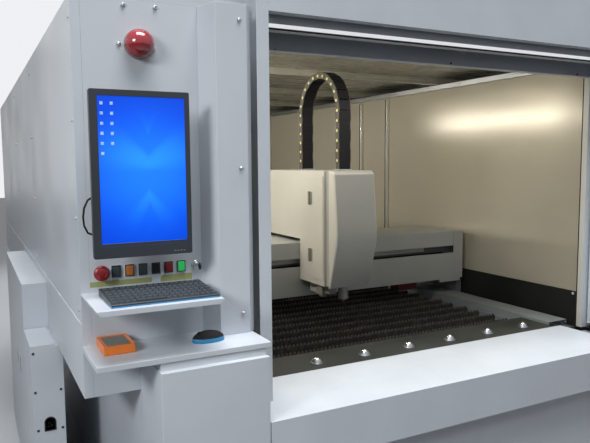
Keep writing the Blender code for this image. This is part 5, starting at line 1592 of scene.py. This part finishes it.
@dataclass
class HeadCarriage:
    """The head's covers, service door, cutting head and cable chain."""

    left: float = 1.351
    right: float = 1.600
    top: float = 1.560
    bottom: float = 0.944
    front_face: tuple[Flat, ...] = ((0.768, 1.530), (0.742, 1.230), (0.812, 0.944))
    nozzle: Flat = (1.476, 0.884)
    chain_x: Flat = (1.438, 1.514)
    chain_centre: Flat = (1.0875, 1.875)
    chain_radius: float = 0.2045
    chain_foot: float = 1.5603
    link_pitch: float = 0.0536
    link_radius: float = 0.0172
    plate_width: float = 0.0045
    links_leg: int = 6
    links_bend: int = 12

    def build(self) -> None:
        """Builds and dresses the carriage."""
        self.rear_cover()
        self.front_cover()
        self.side_door()
        self.cutting_head()
        self.sensor_blocks()
        self.chain()
        dress_nodes(Finish.BASE, "x_carriage")
        dress(Bench.refined("z_slide", "z_slide_plate", 0.0013), Finish.BEAM)

    def rear_cover(self) -> None:
        """The rear housing."""
        dress(Bench.refined("head_rear_cover", "head_rear_shell", 0.0013, 3), Finish.HEAD)

    def front_profile(self, inset: float) -> list[Flat]:
        """Outline of the front cover in Y and Z, drawn in by an inset.

        Args:
            inset: how far the outline is drawn in.

        Returns:
            The closed outline.
        """
        top = self.top - inset
        front = self.front_face
        corner = (front[0][0] + 0.030, self.top - 0.030)
        points = [(0.822, self.bottom + inset), (0.822, top)]
        points += arc(corner, 0.030 - inset, 90, 180, 8)
        points += [(front[1][0] + inset + 0.002, front[1][1] + 0.05), (front[1][0] + inset, front[1][1])]
        points += [(front[1][0] + inset + 0.003, front[1][1] - 0.05)]
        points += [(front[2][0] + inset, self.bottom + inset)]
        return points

    def front_cover(self) -> None:
        """The bulging front shell with a raised rim and painted shade on its front faces, and the grey
        channel behind it.
        """
        shell = Bench.prism("head_front_shell", Plane.YZ, self.front_profile(0.0), (self.left, self.right))
        left, right = place(self.left, 0, 0).x, place(self.right, 0, 0).x
        limit = place(0, 0.8215, 0).y

        def outer(a: Vector, b: Vector) -> bool:
            """Whether an edge runs along the front of a side face."""
            side = any(abs(a.x - x) < 1e-5 and abs(b.x - x) < 1e-5 for x in (left, right))
            return side and min(a.y, b.y) < limit and not (a.z < 0.945 and b.z < 0.945)

        Bench.pick_edges(shell, outer)
        Bench.bevel_picked(0.011, 5)
        Bench.smooth(shell, 28)
        finish_piece(shell, Finish.HEAD, "carriage", "head_front_cover")
        # Faces that look straight forward take the darker copy of the cover enamel: painted shade on the
        # front.
        sides = (Finish.HEAD, Finish.HEAD_FRONT)
        paint(shell, sides, lambda face: Finish.HEAD_FRONT if face.normal.y < -0.93 else Finish.HEAD)
        channel = Bench.box(
            "head_channel", (self.left + 0.012, 0.818, self.bottom + 0.001),
            (self.right - 0.012, 0.8732, self.top - 0.006)
        )
        room = Bench.box(
            "room", (self.left + 0.032, 0.80, self.bottom - 0.01),
            (self.right - 0.032, 0.89, self.top - 0.030)
        )
        Bench.carve(channel, [room])
        finish_piece(Bench.round_all(channel, 0.001, 2), Finish.BEAM, "carriage")

    def side_door(self) -> None:
        """Service door with its two grey hinges."""
        skin = Bench.slab("head_door_skin", (1.3472, 0.880, 0.974), (1.3507, 1.018, 1.530), 0.0012, 2)
        finish_piece(skin, Finish.HEAD, "side_door", "head_side_door")
        half = [
            (0.0001, 0.036), (0.0066, 0.036), (0.0078, 0.0345), (0.0078, 0.013), (0.0068, 0.0125),
            (0.0068, 0.0115), (0.0078, 0.011)
        ]
        rows = half + [(radius, -height) for radius, height in reversed(half)]
        hinges = []
        for height in (1.100, 1.411):
            barrel = Bench.lathe("barrel", (1.3424, 1.018, height), Way.UP, rows, 24)
            leaf = Bench.slab(
                "leaf", (1.3446, 0.994, height - 0.034), (1.3475, 1.014, height + 0.034), 0.0008, 2
            )
            hinges += [Bench.smooth(barrel), leaf]
        finish_piece(Bench.weld("head_door_hinges", hinges), Finish.CHANNEL, "side_door")

    def cutting_head(self) -> None:
        """Turned cutting head: body with collars, nozzle ring and copper nozzle."""
        x, y = self.nozzle
        body = [
            (0.0001, 1.339),
            (0.016, 1.339),
            (0.018, 1.337),
            (0.018, 1.312),
            (0.040, 1.310),
            (0.0428, 1.307),
            (0.0428, 1.200),
            (0.0412, 1.198),
            (0.0412, 1.192),
            (0.0428, 1.190),
            (0.0428, 1.082),
            (0.034, 1.068),
            (0.034, 0.988),
            (0.0315, 0.986),
            (0.0315, 0.980),
            (0.034, 0.978),
            (0.034, 0.958),
            (0.026, 0.952),
            (0.026, 0.900),
            (0.0001, 0.900),
        ]
        finish_piece(
            Bench.turned("cutting_head_body", (x, y, 0), Way.UP, body, 40), Finish.BEAM, "z_axis",
            "cutting_head"
        )
        ring = [
            (0.0001, 0.9005), (0.0255, 0.9005), (0.0265, 0.899), (0.0265, 0.868), (0.0225, 0.8635),
            (0.0001, 0.8635)
        ]
        finish_piece(Bench.turned("nozzle_ring", (x, y, 0), Way.UP, ring, 32), Finish.BEAM, "z_axis")
        tip = [
            (0.0001, 0.8640), (0.0120, 0.8640), (0.0120, 0.8600), (0.0105, 0.8585), (0.0045, 0.849),
            (0.0040, 0.8482), (0.0018, 0.8482), (0.0018, 0.853), (0.0001, 0.853)
        ]
        finish_piece(Bench.turned("copper_nozzle", (x, y, 0), Way.UP, tip, 32), Finish.BRASS, "z_axis")

    def sensor_blocks(self) -> None:
        """Grey blocks under the head's covers, beside the cutting head."""
        corners = (
            ((1.364, 0.918, 0.888), (1.428, 0.988, 0.9437)),
            ((1.378, 0.866, 0.902), (1.424, 0.9150, 0.9437)),
            ((1.372, 0.930, 0.876), (1.400, 0.970, 0.8885)),
        )
        blocks = [Bench.slab("block", low, high, 0.0016, 2) for low, high in corners]
        finish_piece(Bench.weld("head_sensor_blocks", blocks), Finish.CHANNEL, "carriage")

    def link_plates(self) -> bpy.types.Object:
        """The two side plates of a chain link at the origin: along Z, thick along Y and wide along X.

        Returns:
            The two plates as one piece, the model for all links.
        """
        half = (self.chain_x[1] - self.chain_x[0]) / 2
        straight = self.link_pitch / 2 - 0.0005
        outline = [(y, z - straight) for y, z in arc((0, 0), self.link_radius, 0, -180, 8)]
        outline += [(y, z + straight) for y, z in arc((0, 0), self.link_radius, 180, 0, 8)]
        parts = []
        for span in ((-half, self.plate_width - half), (half - self.plate_width, half)):
            plate = Bench.prism("plate", Plane.YZ, outline, span)
            parts.append(Bench.round_all(plate, 0.0008, 2))
        link = Bench.weld("plates_model", parts)
        link.data.transform(Matrix.Translation(-SHIFT))
        return link

    def link_bars(self) -> bpy.types.Object:
        """The two snap-in covers of a chain link at the origin, which close its outer and inner side.

        Returns:
            The two covers as one piece, the model for all links.
        """
        half = (self.chain_x[1] - self.chain_x[0]) / 2
        parts = []
        for y in (-0.0158, 0.0158):
            low = (-half + 0.0035, y - 0.0018, -0.0262)
            parts.append(Bench.slab("bar", low, (half - 0.0035, y + 0.0018, 0.0262), 0.0010, 2))
        link = Bench.weld("bars_model", parts)
        link.data.transform(Matrix.Translation(-SHIFT))
        return link

    def chain_places(self) -> list[tuple[float, float, float]]:
        """Middle (Y, Z) and turn about X of each link, from the front foot over the bend to the rear.

        Returns:
            (Y, Z, turn) of each link.
        """
        foot = self.chain_foot
        step = (self.chain_centre[1] - foot) / self.links_leg
        cy, cz = self.chain_centre
        found = [(cy - self.chain_radius, foot + (i + 0.5) * step, 0.0) for i in range(self.links_leg)]
        turn = 180.0 / self.links_bend
        for index in range(self.links_bend):
            angle = 180.0 - (index + 0.5) * turn
            a = math.radians(angle)
            found.append(
                (cy + self.chain_radius * math.cos(a), cz + self.chain_radius * math.sin(a), a - math.pi)
            )
        found += [(cy + self.chain_radius, z, -math.pi) for _, z, _ in reversed(found[: self.links_leg])]
        return found

    def chain(self) -> None:
        """Cable chain of links with covers, its yellow pins and the hoses inside it."""
        middle = sum(self.chain_x) / 2
        places = self.chain_places()
        moves = []
        for index, (y, z, turn) in enumerate(places):
            squeeze = Matrix.Diagonal((1.0 if index % 2 else 0.94, 1.0, 1.0, 1.0))
            moves.append(Matrix.Translation(place(middle, y, z)) @ Matrix.Rotation(turn, 4, "X") @ squeeze)
        links = Bench.repeat("cable_chain_links", self.link_plates(), moves)
        finish_piece(links, Finish.CHAIN_SIDE, "carriage", "z_cable_chain")
        finish_piece(Bench.repeat("cable_chain_covers", self.link_bars(), moves), Finish.BLACK, "carriage")
        pin = Bench.lathe(
            "pin_model", (0, 0, 0), Way.LEFT,
            [(0.0001, 0.0016), (0.0068, 0.0016), (0.0080, 0.0004), (0.0080, -0.002), (0.0001, -0.002)], 16
        )
        pin.data.transform(Matrix.Translation(-SHIFT))
        joints = []
        for (y, z, _), (next_y, next_z, _) in zip(places, places[1:]):
            joints.append(Matrix.Translation(place(self.chain_x[0], (y + next_y) / 2, (z + next_z) / 2)))
        finish_piece(Bench.smooth(Bench.repeat("chain_pins", pin, joints)), Finish.YELLOW, "carriage")
        self.hoses()
        feet = []
        for y in (self.chain_centre[0] - self.chain_radius, self.chain_centre[0] + self.chain_radius):
            low = (self.chain_x[0] - 0.004, y - 0.022, self.chain_foot)
            high = (self.chain_x[1] + 0.004, y + 0.022, self.chain_foot + 0.0062)
            feet.append(Bench.slab("foot", low, high, 0.001, 2))
        finish_piece(Bench.weld("chain_feet", feet), Finish.STEEL, "carriage")

    def hoses(self) -> None:
        """Hoses and cables that run inside the chain."""
        cy, cz = self.chain_centre
        runs = []
        for offset, radius in ((-0.022, 0.0065), (-0.004, 0.008), (0.016, 0.006)):
            rail = self.chain_radius + (0.001 if offset < 0 else -0.001)
            path = [
                (cy - rail, 1.568), (cy - rail, 1.72)
            ] + arc((cy, cz), rail, 180, 0, 24) + [(cy + rail, 1.72), (cy + rail, 1.568)]
            x = sum(self.chain_x) / 2 + offset
            runs.append(Bench.tube("hose", [(x, y, z) for y, z in path], radius))
        finish_piece(Bench.smooth(Bench.weld("chain_hoses", runs)), Finish.RUBBER, "carriage")


@dataclass
class Console:
    """Console panel and pillar, screen, controls, shelves and what lies on them."""

    face: float = 0.096
    control_z: float = 1.253
    button_first: float = 0.113
    button_pitch: float = 0.0438
    button_size: Flat = (0.030, 0.039)
    screen_x: Flat = (0.025, 0.333)
    screen_z: Flat = (1.314, 1.825)
    screen_front: float = -0.032
    shelf_top: float = 1.189
    lower_shelf_top: float = 1.017

    def build(self) -> None:
        """Builds and dresses the console."""
        for node, width in (
            ("console_panel", 0.0006), ("console_pillar", 0.0013), ("keyboard_shelf", 0.0010),
            ("mouse_shelf", 0.0012)
        ):
            dress(Bench.refined(node, node + "_sheet", width, 3), Finish.ENAMEL)
        screws = [
            (0.163, self.face, 2.106), (0.266, self.face, 2.108), (0.146, self.face, 1.983),
            (0.256, self.face, 1.976)
        ]
        ScrewHead(0.0074, 0.008, 0.0034).row("console_panel_screws", screws, Way.FRONT, "base")
        screws = [(0.518, -0.006, z) for z in (2.073, 1.585, 1.088)]
        ScrewHead(0.0068, 0.007, 0.0031).row("pillar_screws", screws, Way.FRONT, "base")
        self.beacon()
        self.controls()
        self.monitor()
        self.strips()
        self.keyboard()
        self.mouse()
        self.pendant()

    def beacon(self) -> None:
        """Red dome lamp on a grey base ring."""
        base = (0.209, self.face, 1.986)
        dome = [
            (
                0.0001 if i == 0 else 0.047 * math.sin(math.radians(a)),
                0.0135 + 0.047 * math.cos(math.radians(a))
            ) for i,
            a in enumerate(range(0, 101, 10))
        ]
        dome += [(0.044, 0.004), (0.0001, 0.004)]
        lens = Bench.lathe("beacon_lens", base, Way.FRONT, dome, 48)
        finish_piece(Bench.smooth(lens, 50), Finish.RED_DOME, "base", "beacon_dome")
        ring = [(0.0001, 0.0062), (0.0460, 0.0062), (0.0469, 0.0052), (0.0469, 0.0004), (0.0001, 0.0004)]
        finish_piece(Bench.turned("beacon_base", base, Way.FRONT, ring, 48), Finish.BEACON_RING, "base")

    def controls(self) -> None:
        """Push buttons, emergency stop and key switch."""
        lenses = (Finish.TEAL, Finish.AMBER, Finish.TEAL, Finish.BLACK, Finish.RED_CAP, Finish.GREEN)
        frames = []
        for index, finish in enumerate(lenses):
            x = self.button_first + self.button_pitch * index
            edge = self.button_box("frame", x, 0.0, (-0.0052, -0.0003))
            hole = self.button_box("hole", x, 0.0035, (-0.02, 0.02))
            frames.append(Bench.round_all(Bench.carve(edge, [hole]), 0.0009, 2))
            cap = self.button_box(f"button_cap_{index + 1}", x, 0.004, (-0.009, 0.010))
            Bench.sink(cap, Way.FRONT, 0.0025, -0.0008)
            finish_piece(
                Bench.round_all(cap, 0.0009, 2), finish, f"button_{index + 1}", f"push_button_{index + 1}"
            )
        finish_piece(Bench.weld("button_frames", frames), Finish.BEZEL, "base")
        self.emergency_stop()
        self.key_switch()

    def button_box(self, name: str, x: float, inset: float, depth: Flat) -> bpy.types.Object:
        """A box as wide and high as a push button, drawn in by an inset.

        Args:
            name: the box's name.
            x: the button's middle.
            inset: how far each side is drawn in.
            depth: its front and back, counted from the panel's face.

        Returns:
            The box.
        """
        wide, high = self.button_size
        low = (x - wide / 2 + inset, self.face + depth[0], self.control_z - high / 2 + inset)
        top = (x + wide / 2 - inset, self.face + depth[1], self.control_z + high / 2 - inset)
        return Bench.box(name, low, top)

    def emergency_stop(self) -> None:
        """Red mushroom button on a dark collar."""
        where = (0.064, self.face, self.control_z)
        rows = [
            (0.0001, 0.034), (0.010, 0.0338), (0.0185, 0.0325), (0.0228, 0.0298), (0.0248, 0.0262),
            (0.0250, 0.0205), (0.0238, 0.0185), (0.0105, 0.0155), (0.0088, 0.0145), (0.0088, -0.028),
            (0.0001, -0.028)
        ]
        cap = Bench.lathe("estop_mushroom", where, Way.FRONT, rows, 48)
        finish_piece(Bench.smooth(cap, 40), Finish.RED_CAP, "estop", "estop_button")
        marks = []
        for turn in (90, 210, 330):
            ring = arc(
                (0.064, self.control_z), 0.0158, turn - 26, turn + 26, 8
            ) + arc((0.064, self.control_z), 0.0128, turn + 26, turn - 26, 8)
            marks.append(Bench.prism("mark", Plane.XZ, ring, (self.face - 0.0338, self.face - 0.0325)))
        finish_piece(
            Bench.round_all(Bench.weld("estop_turn_marks", marks), 0.0002, 1), Finish.RED_MARK, "estop"
        )
        collar = [
            (0.0100, 0.0085), (0.0165, 0.0085), (0.0178, 0.0072), (0.0182, 0.0004), (0.0100, 0.0004),
            (0.0100, 0.0085)
        ]
        finish_piece(Bench.turned("estop_collar", where, Way.FRONT, collar, 36), Finish.BEZEL, "base")

    def key_switch(self) -> None:
        """Key switch with a bright collar, and its key with a dark bow."""
        where = (0.385, self.face, self.control_z)
        collar = [
            (0.0126, 0.0078), (0.0150, 0.0078), (0.0164, 0.0062), (0.0168, 0.0004), (0.0126, 0.0004),
            (0.0126, 0.0078)
        ]
        finish_piece(Bench.turned("key_switch_collar", where, Way.FRONT, collar, 32), Finish.SCREW, "base")
        barrel = [(0.0001, 0.0165), (0.0102, 0.0165), (0.0117, 0.0150), (0.0117, -0.017), (0.0001, -0.017)]
        finish_piece(
            Bench.turned("key_barrel", where, Way.FRONT, barrel, 32), Finish.SCREW, "key", "console_key"
        )
        blade = Bench.box(
            "blade", (0.384, self.face - 0.034, self.control_z - 0.0035),
            (0.386, self.face - 0.012, self.control_z + 0.0035)
        )
        bow = Bench.drum("bow", (0.385, self.face - 0.042, self.control_z), Way.RIGHT, 0.0118, 0.0036, 28)
        hole = Bench.drum("hole", (0.385, self.face - 0.046, self.control_z), Way.RIGHT, 0.0032, 0.02, 16)
        Bench.carve(bow, [hole])
        finish_piece(Bench.round_all(blade, 0.0003, 1), Finish.SCREW, "key")
        bow.name = "key_bow"
        finish_piece(Bench.round_all(bow, 0.0008, 2), Finish.BLACK, "key")

    def monitor(self) -> None:
        """Upright screen: bezel, back shell, lit panel, buttons and its wall bracket."""
        x, z = self.screen_x, self.screen_z
        front = self.screen_front
        body = Bench.box("screen_bezel", (x[0], front, z[0]), (x[1], front + 0.022, z[1]))
        left, right = place(x[0], 0, 0).x, place(x[1], 0, 0).x
        Bench.pick_edges(
            body, lambda a, b: abs(a.y - b.y) > 0.01 and min(abs(a.x - left), abs(a.x - right)) < 1e-5
        )
        Bench.bevel_picked(0.006, 4)
        opening = Bench.box(
            "opening", (x[0] + 0.024, front - 0.01, z[0] + 0.036),
            (x[1] - 0.016, front + 0.0022, z[1] - 0.019)
        )
        Bench.carve(body, [opening])
        finish_piece(Bench.round_all(body, 0.0014, 2), Finish.BEZEL, "base", "monitor")
        centre = place((x[0] + x[1]) / 2 + 0.02, front, (z[0] + z[1]) / 2 + 0.01)
        screen = Bench.slab(
            "lit_screen", (x[0] + 0.0242, front + 0.0012, z[0] + 0.0362),
            (x[1] - 0.0162, front + 0.004, z[1] - 0.0192), 0.0004, 1
        )
        screen.data.materials.clear()
        screen.data.materials.append(ScreenGlow("blue_screen_glow", tuple(centre)).material())
        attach(screen, "base")
        self.screen_icons(x, z, front)
        back = [
            (x[0] + 0.02, z[0] + 0.03), (x[1] - 0.02, z[0] + 0.03), (x[1] - 0.02, z[1] - 0.03),
            (x[0] + 0.02, z[1] - 0.03)
        ]
        shell = Bench.prism("screen_back_shell", Plane.XZ, back, (front + 0.0216, front + 0.050))
        Bench.taper(shell, Way.REAR, 0.72, ((x[0] + x[1]) / 2, front + 0.05, (z[0] + z[1]) / 2))
        finish_piece(Bench.round_all(shell, 0.004, 3), Finish.BEZEL, "base")
        middle = ((x[0] + x[1]) / 2, (z[0] + z[1]) / 2)
        steps = (
            (0.05, 0.05, front + 0.0495, front + 0.0525),
            (0.03, 0.04, front + 0.052, self.face - 0.004),
            (0.06, 0.06, self.face - 0.0045, self.face - 0.0005),
        )
        parts = []
        for wide, high, near, far in steps:
            low = (middle[0] - wide, near, middle[1] - high)
            parts.append(Bench.slab("step", low, (middle[0] + wide, far, middle[1] + high), 0.001, 2))
        bracket = Bench.weld("screen_bracket", parts)
        finish_piece(bracket, Finish.BASE, "base")
        loop = [
            (0.040, 0.016, 1.505), (0.020, 0.017, 1.492), (0.009, 0.020, 1.468), (0.006, 0.024, 1.440),
            (0.009, 0.029, 1.412), (0.020, 0.036, 1.390), (0.045, 0.046, 1.378)
        ]
        finish_piece(Bench.smooth(Bench.tube("screen_cable", loop, 0.0032)), Finish.RUBBER, "base")
        keys = [
            Bench.slab(
                "key", (x[1] - 0.060 + i * 0.010, front - 0.0006, z[0] + 0.010),
                (x[1] - 0.054 + i * 0.010, front + 0.0006, z[0] + 0.0125), 0.0004, 2
            )
            for i in range(4)
        ]
        finish_piece(Bench.weld("screen_touch_keys", keys), Finish.CHANNEL, "base")

    def screen_icons(self, x: Flat, z: Flat, front: float) -> None:
        """Generic tiles and a dark bar on the screen.

        Args:
            x: the bezel's left and right.
            z: its bottom and top.
            front: the Y of its front face.
        """
        tiles = []
        for column, count in enumerate((6, 5)):
            for row in range(count):
                u = x[0] + 0.036 + column * 0.030
                v = z[1] - 0.042 - row * 0.030
                low = (u - 0.0045, front + 0.0006, v - 0.0045)
                tiles.append(Bench.slab("tile", low, (u + 0.0045, front + 0.0014, v + 0.0045), 0.0003, 1))
        finish_piece(Bench.weld("screen_tiles", tiles), Finish.TILE, "base")
        bar = Bench.slab(
            "screen_bar", (x[0] + 0.0246, front + 0.0006, z[0] + 0.0366),
            (x[1] - 0.0166, front + 0.0014, z[0] + 0.0455), 0.0003, 1
        )
        finish_piece(bar, Finish.BEZEL, "base")

    def strips(self) -> None:
        """Two blank label strips under the controls."""
        strips = []
        for x, z in (((0.030, 0.230), (1.206, 1.2235)), ((0.260, 0.370), (1.204, 1.226))):
            low = (x[0], self.face - 0.0007, z[0])
            strips.append(Bench.slab("strip", low, (x[1], self.face + 0.0004, z[1]), 0.0003, 2))
        finish_piece(Bench.weld("blank_label_strips", strips), Finish.STRIP, "base")

    def keyboard(self) -> None:
        """Keyboard with rows of key caps on a dark deck with a blue rim."""
        x, y, length, depth = 0.045, -0.165, 0.330, 0.200
        stand = self.shelf_top + 0.0003
        rise = 0.014
        outline = [(y, stand), (y + depth, stand), (y + depth, stand + 0.010 + rise), (y, stand + 0.010)]
        deck = Bench.prism("keyboard_deck", Plane.YZ, outline, (x, x + length))
        finish_piece(Bench.round_all(deck, 0.003, 3), Finish.BEZEL, "base", "keyboard")
        lip = [
            (y - 0.0008, stand), (y + 0.03, stand), (y + 0.03, stand + 0.0045), (y - 0.0008, stand + 0.0035)
        ]
        rim = Bench.prism("keyboard_blue_rim", Plane.YZ, lip, (x - 0.0008, x + length + 0.0008))
        finish_piece(Bench.round_all(rim, 0.0008, 2), Finish.BLUE, "base")
        cap, cap_height, pitch, row_pitch = 0.0158, 0.0055, 0.0176, 0.0297
        side, near, seat = 0.0075, 0.012, 0.0094
        model = Bench.box("key_model", (x, y, stand), (x + cap, y + cap, stand + cap_height))
        Bench.taper(model, Way.UP, 0.80, (x + cap / 2, y + cap / 2, stand + cap_height))
        Bench.round_all(model, 0.0010, 2)
        tilt = math.atan2(rise, depth)
        moves = []
        for row in range(6):
            for column in range(18):
                if row == 0 and 4 <= column <= 8:
                    continue
                v = near + row * row_pitch + (0.006 if row == 5 else 0.0)
                moves.append(moved(side + column * pitch, v, seat + v * math.tan(tilt)))
        keys = Bench.repeat("keyboard_keys", model, moves)
        low = (x + side + 4 * pitch, y + near, stand + seat)
        bar = Bench.box("space", low, (x + side + 8 * pitch + cap, y + near + cap, stand + 0.0158))
        keys = Bench.weld("keyboard_keys", [keys, Bench.round_all(bar, 0.0012, 2)])
        finish_piece(keys, Finish.KEYS, "base")

    def mouse(self) -> None:
        """Mouse with a blue lower body, dark back, two buttons and a wheel."""
        cx, cy = 0.378, -0.038
        stand = self.lower_shelf_top + 0.0003
        Bench.clear()
        bpy.ops.mesh.primitive_uv_sphere_add(
            segments=48, ring_count=24, radius=1.0, location=place(cx, cy, stand + 0.006)
        )
        shell = bpy.context.object
        shell.scale = (0.0555, 0.0315, 0.030)
        Bench.settle(shell)
        Bench.take(shell)
        bpy.ops.object.mode_set(mode="EDIT")
        bpy.ops.mesh.select_all(action="SELECT")
        bpy.ops.mesh.bisect(
            plane_co=tuple(place(cx, cy, stand)), plane_no=(0, 0, -1), clear_outer=True, use_fill=True
        )
        bpy.ops.object.mode_set(mode="OBJECT")
        shell.name = "mouse_shell"
        groove = Bench.box(
            "groove", (cx - 0.06, cy - 0.0007, stand + 0.026), (cx - 0.010, cy + 0.0007, stand + 0.05)
        )
        Bench.carve(shell, [groove])
        Bench.smooth(shell, 40)
        blue_top = stand + 0.0125
        parts = (Finish.RUBBER, Finish.BLUE)
        paint(shell, parts, lambda face: Finish.BLUE if face.center.z < blue_top else Finish.RUBBER)
        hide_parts("mouse")
        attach(shell, "base")
        wheel = Bench.lathe(
            "mouse_wheel", (cx - 0.030, cy - 0.0035, stand + 0.0265), Way.REAR,
            [
                (0.0001, 0.007), (0.0068, 0.007), (0.0078, 0.006), (0.0078, 0.001), (0.0068, 0.0),
                (0.0001, 0.0)
            ],
            24
        )
        finish_piece(Bench.smooth(wheel), Finish.RUBBER, "base")

    def pendant(self) -> None:
        """Handheld pendant: orange case with a raised rim round a grey panel."""
        x, y, width, depth = 0.041, -0.047, 0.096, 0.132
        stand = self.lower_shelf_top + 0.0003
        case = Bench.box("pendant_case", (x, y, stand), (x + width, y + depth, stand + 0.030))
        Bench.sink(case, Way.UP, 0.010, 0.004)
        finish_piece(Bench.round_all(case, 0.0028, 3), Finish.ORANGE, "base", "pendant")
        panel = Bench.box(
            "pendant_panel", (x + 0.012, y + 0.012, stand + 0.0255),
            (x + width - 0.012, y + depth - 0.012, stand + 0.0275)
        )
        Bench.sink(panel, Way.UP, 0.006, 0.0006)
        finish_piece(Bench.round_all(panel, 0.0006, 2), Finish.PANEL_GREY, "base")


@dataclass
class Stage:
    """Floor, lamps and camera."""

    focal: float = 38.2
    eye: Point = (-0.301, -1.969, 1.600)
    yaw: float = 27.51
    pitch: float = -5.32
    roll: float = -0.44

    def build(self) -> None:
        """Sets the floor, the lamps, the world and the camera."""
        self.floor()
        self.camera()
        self.lamps()
        self.world()

    def floor(self) -> None:
        """A plain pale floor."""
        Bench.clear()
        bpy.ops.mesh.primitive_plane_add(size=60.0, location=(0, 0, 0))
        ground = bpy.context.object
        ground.name = "studio_floor"
        wiring, shader, where = start_material("pale_studio_floor")
        noise = wiring.add("TexNoise", None, Vector=where, Scale=1.5, Detail=3.0)
        pale = wiring.blend(noise.outputs["Fac"], (0.58, 0.59, 0.61, 1), (0.62, 0.63, 0.65, 1))
        colour = wiring.blend(wiring.in_view(), (0.07, 0.07, 0.072, 1), pale)
        wiring.feed(shader, Base_Color=colour, Roughness=0.6)
        ground.data.materials.append(bpy.data.materials["pale_studio_floor"])

    def camera(self) -> None:
        """The camera at the photograph's angle."""
        yaw, pitch, roll = (math.radians(v) for v in (self.yaw, self.pitch, self.roll))
        ahead = Vector((math.sin(yaw) * math.cos(pitch), math.cos(yaw) * math.cos(pitch), math.sin(pitch)))
        flat_right = Vector((math.cos(yaw), -math.sin(yaw), 0.0))
        flat_up = flat_right.cross(ahead)
        right = math.cos(roll) * flat_right + math.sin(roll) * flat_up
        up = -math.sin(roll) * flat_right + math.cos(roll) * flat_up
        view = bpy.data.cameras.new("photo_view")
        view.lens = self.focal
        view.sensor_width = 36.0
        view.clip_end = 100.0
        item = bpy.data.objects.new("photo_view", view)
        bpy.context.scene.collection.objects.link(item)
        turn = Matrix((right, up, -ahead)).transposed().to_4x4()
        item.matrix_world = Matrix.Translation(place(*self.eye)) @ turn
        bpy.context.scene.camera = item

    def lamp(
        self, name: str, spot: Point, aim: Point, size: Flat, power: float, colour: Colour,
        spread_angle: float
    ) -> None:
        """Adds a soft rectangular lamp.

        Args:
            name: the lamp's name.
            spot: its place in machine coordinates.
            aim: the point that it faces.
            size: its width and height.
            power: its power in watts.
            colour: its colour.
            spread_angle: how wide it shines, in degrees.
        """
        light = bpy.data.lights.new(name, "AREA")
        light.spread = math.radians(spread_angle)
        light.shape = "RECTANGLE"
        light.size, light.size_y = size
        light.energy = power
        light.color = colour
        item = bpy.data.objects.new(name, light)
        bpy.context.scene.collection.objects.link(item)
        item.location = place(*spot)
        item.rotation_euler = (place(*aim) - place(*spot)).to_track_quat("-Z", "Y").to_euler()

    def lamps(self) -> None:
        """Soft studio lamps outside, and the machine's own work lamp inside."""
        self.lamp(
            "ceiling_softbox", (0.7, -1.45, 7.0), (1.0, -0.3, 1.0), (4.5, 2.6), 215.0, (0.95, 0.98, 1.0),
            120.0
        )
        self.lamp(
            "front_left_softbox", (-2.9, -2.0, 3.0), (0.15, -0.05, 1.0), (1.3, 1.0), 13.0,
            (0.96, 0.98, 1.0), 60.0
        )
        self.lamp(
            "right_softbox", (6.5, 0.5, 4.2), (2.9, 2.0, 1.4), (3.0, 2.0), 60.0, (1.0, 0.98, 0.95), 120.0
        )
        self.lamp(
            "rear_softbox", (1.5, 8.5, 4.5), (1.5, 4.5, 1.0), (4.0, 2.5), 90.0, (0.95, 0.98, 1.0), 120.0
        )
        self.lamp(
            "work_lamp_left", (0.420, 3.00, 2.050), (2.0, 3.00, 1.1), (2.1, 0.060), 18.0, (1.0, 0.95, 0.86),
            180.0
        )
        self.lamp(
            "work_lamp_front", (0.420, 1.15, 2.05), (1.6, 1.15, 1.1), (0.9, 0.045), 12.0, (1.0, 0.94, 0.82),
            180.0
        )
        self.lamp(
            "work_lamp_header", (1.5, 0.30, 2.04), (1.5, 1.6, 0.9), (1.6, 0.05), 5.5, (1.0, 0.94, 0.84),
            180.0
        )

    def world(self) -> None:
        """An even pale world that looks white behind the machine."""
        world = bpy.data.worlds.new("studio")
        bpy.context.scene.world = world
        world.use_nodes = True
        tree = world.node_tree
        tree.nodes.clear()
        wiring = Wiring(tree)
        fill = wiring.add("Background", None, Color=(0.82, 0.87, 0.93, 1), Strength=0.16)
        shown = wiring.add("Background", None, Color=(0.86, 0.88, 0.90, 1), Strength=1.0)
        mix = wiring.add("MixShader", None, _0=wiring.in_view(), _1=fill.outputs[0], _2=shown.outputs[0])
        wiring.add("OutputWorld", None, Surface=mix.outputs[0])
        bpy.context.scene.view_settings.view_transform = "Standard"


def main() -> None:
    """Builds every sub-assembly in order."""
    for assembly in (Stage(), Enclosure(), Portal(), CuttingRoom(), Gantry(), HeadCarriage(), Console()):
        assembly.build()
        LOG.info("built %s", type(assembly).__name__)
    Bench.clear()


if __name__ == "__main__":
    main()
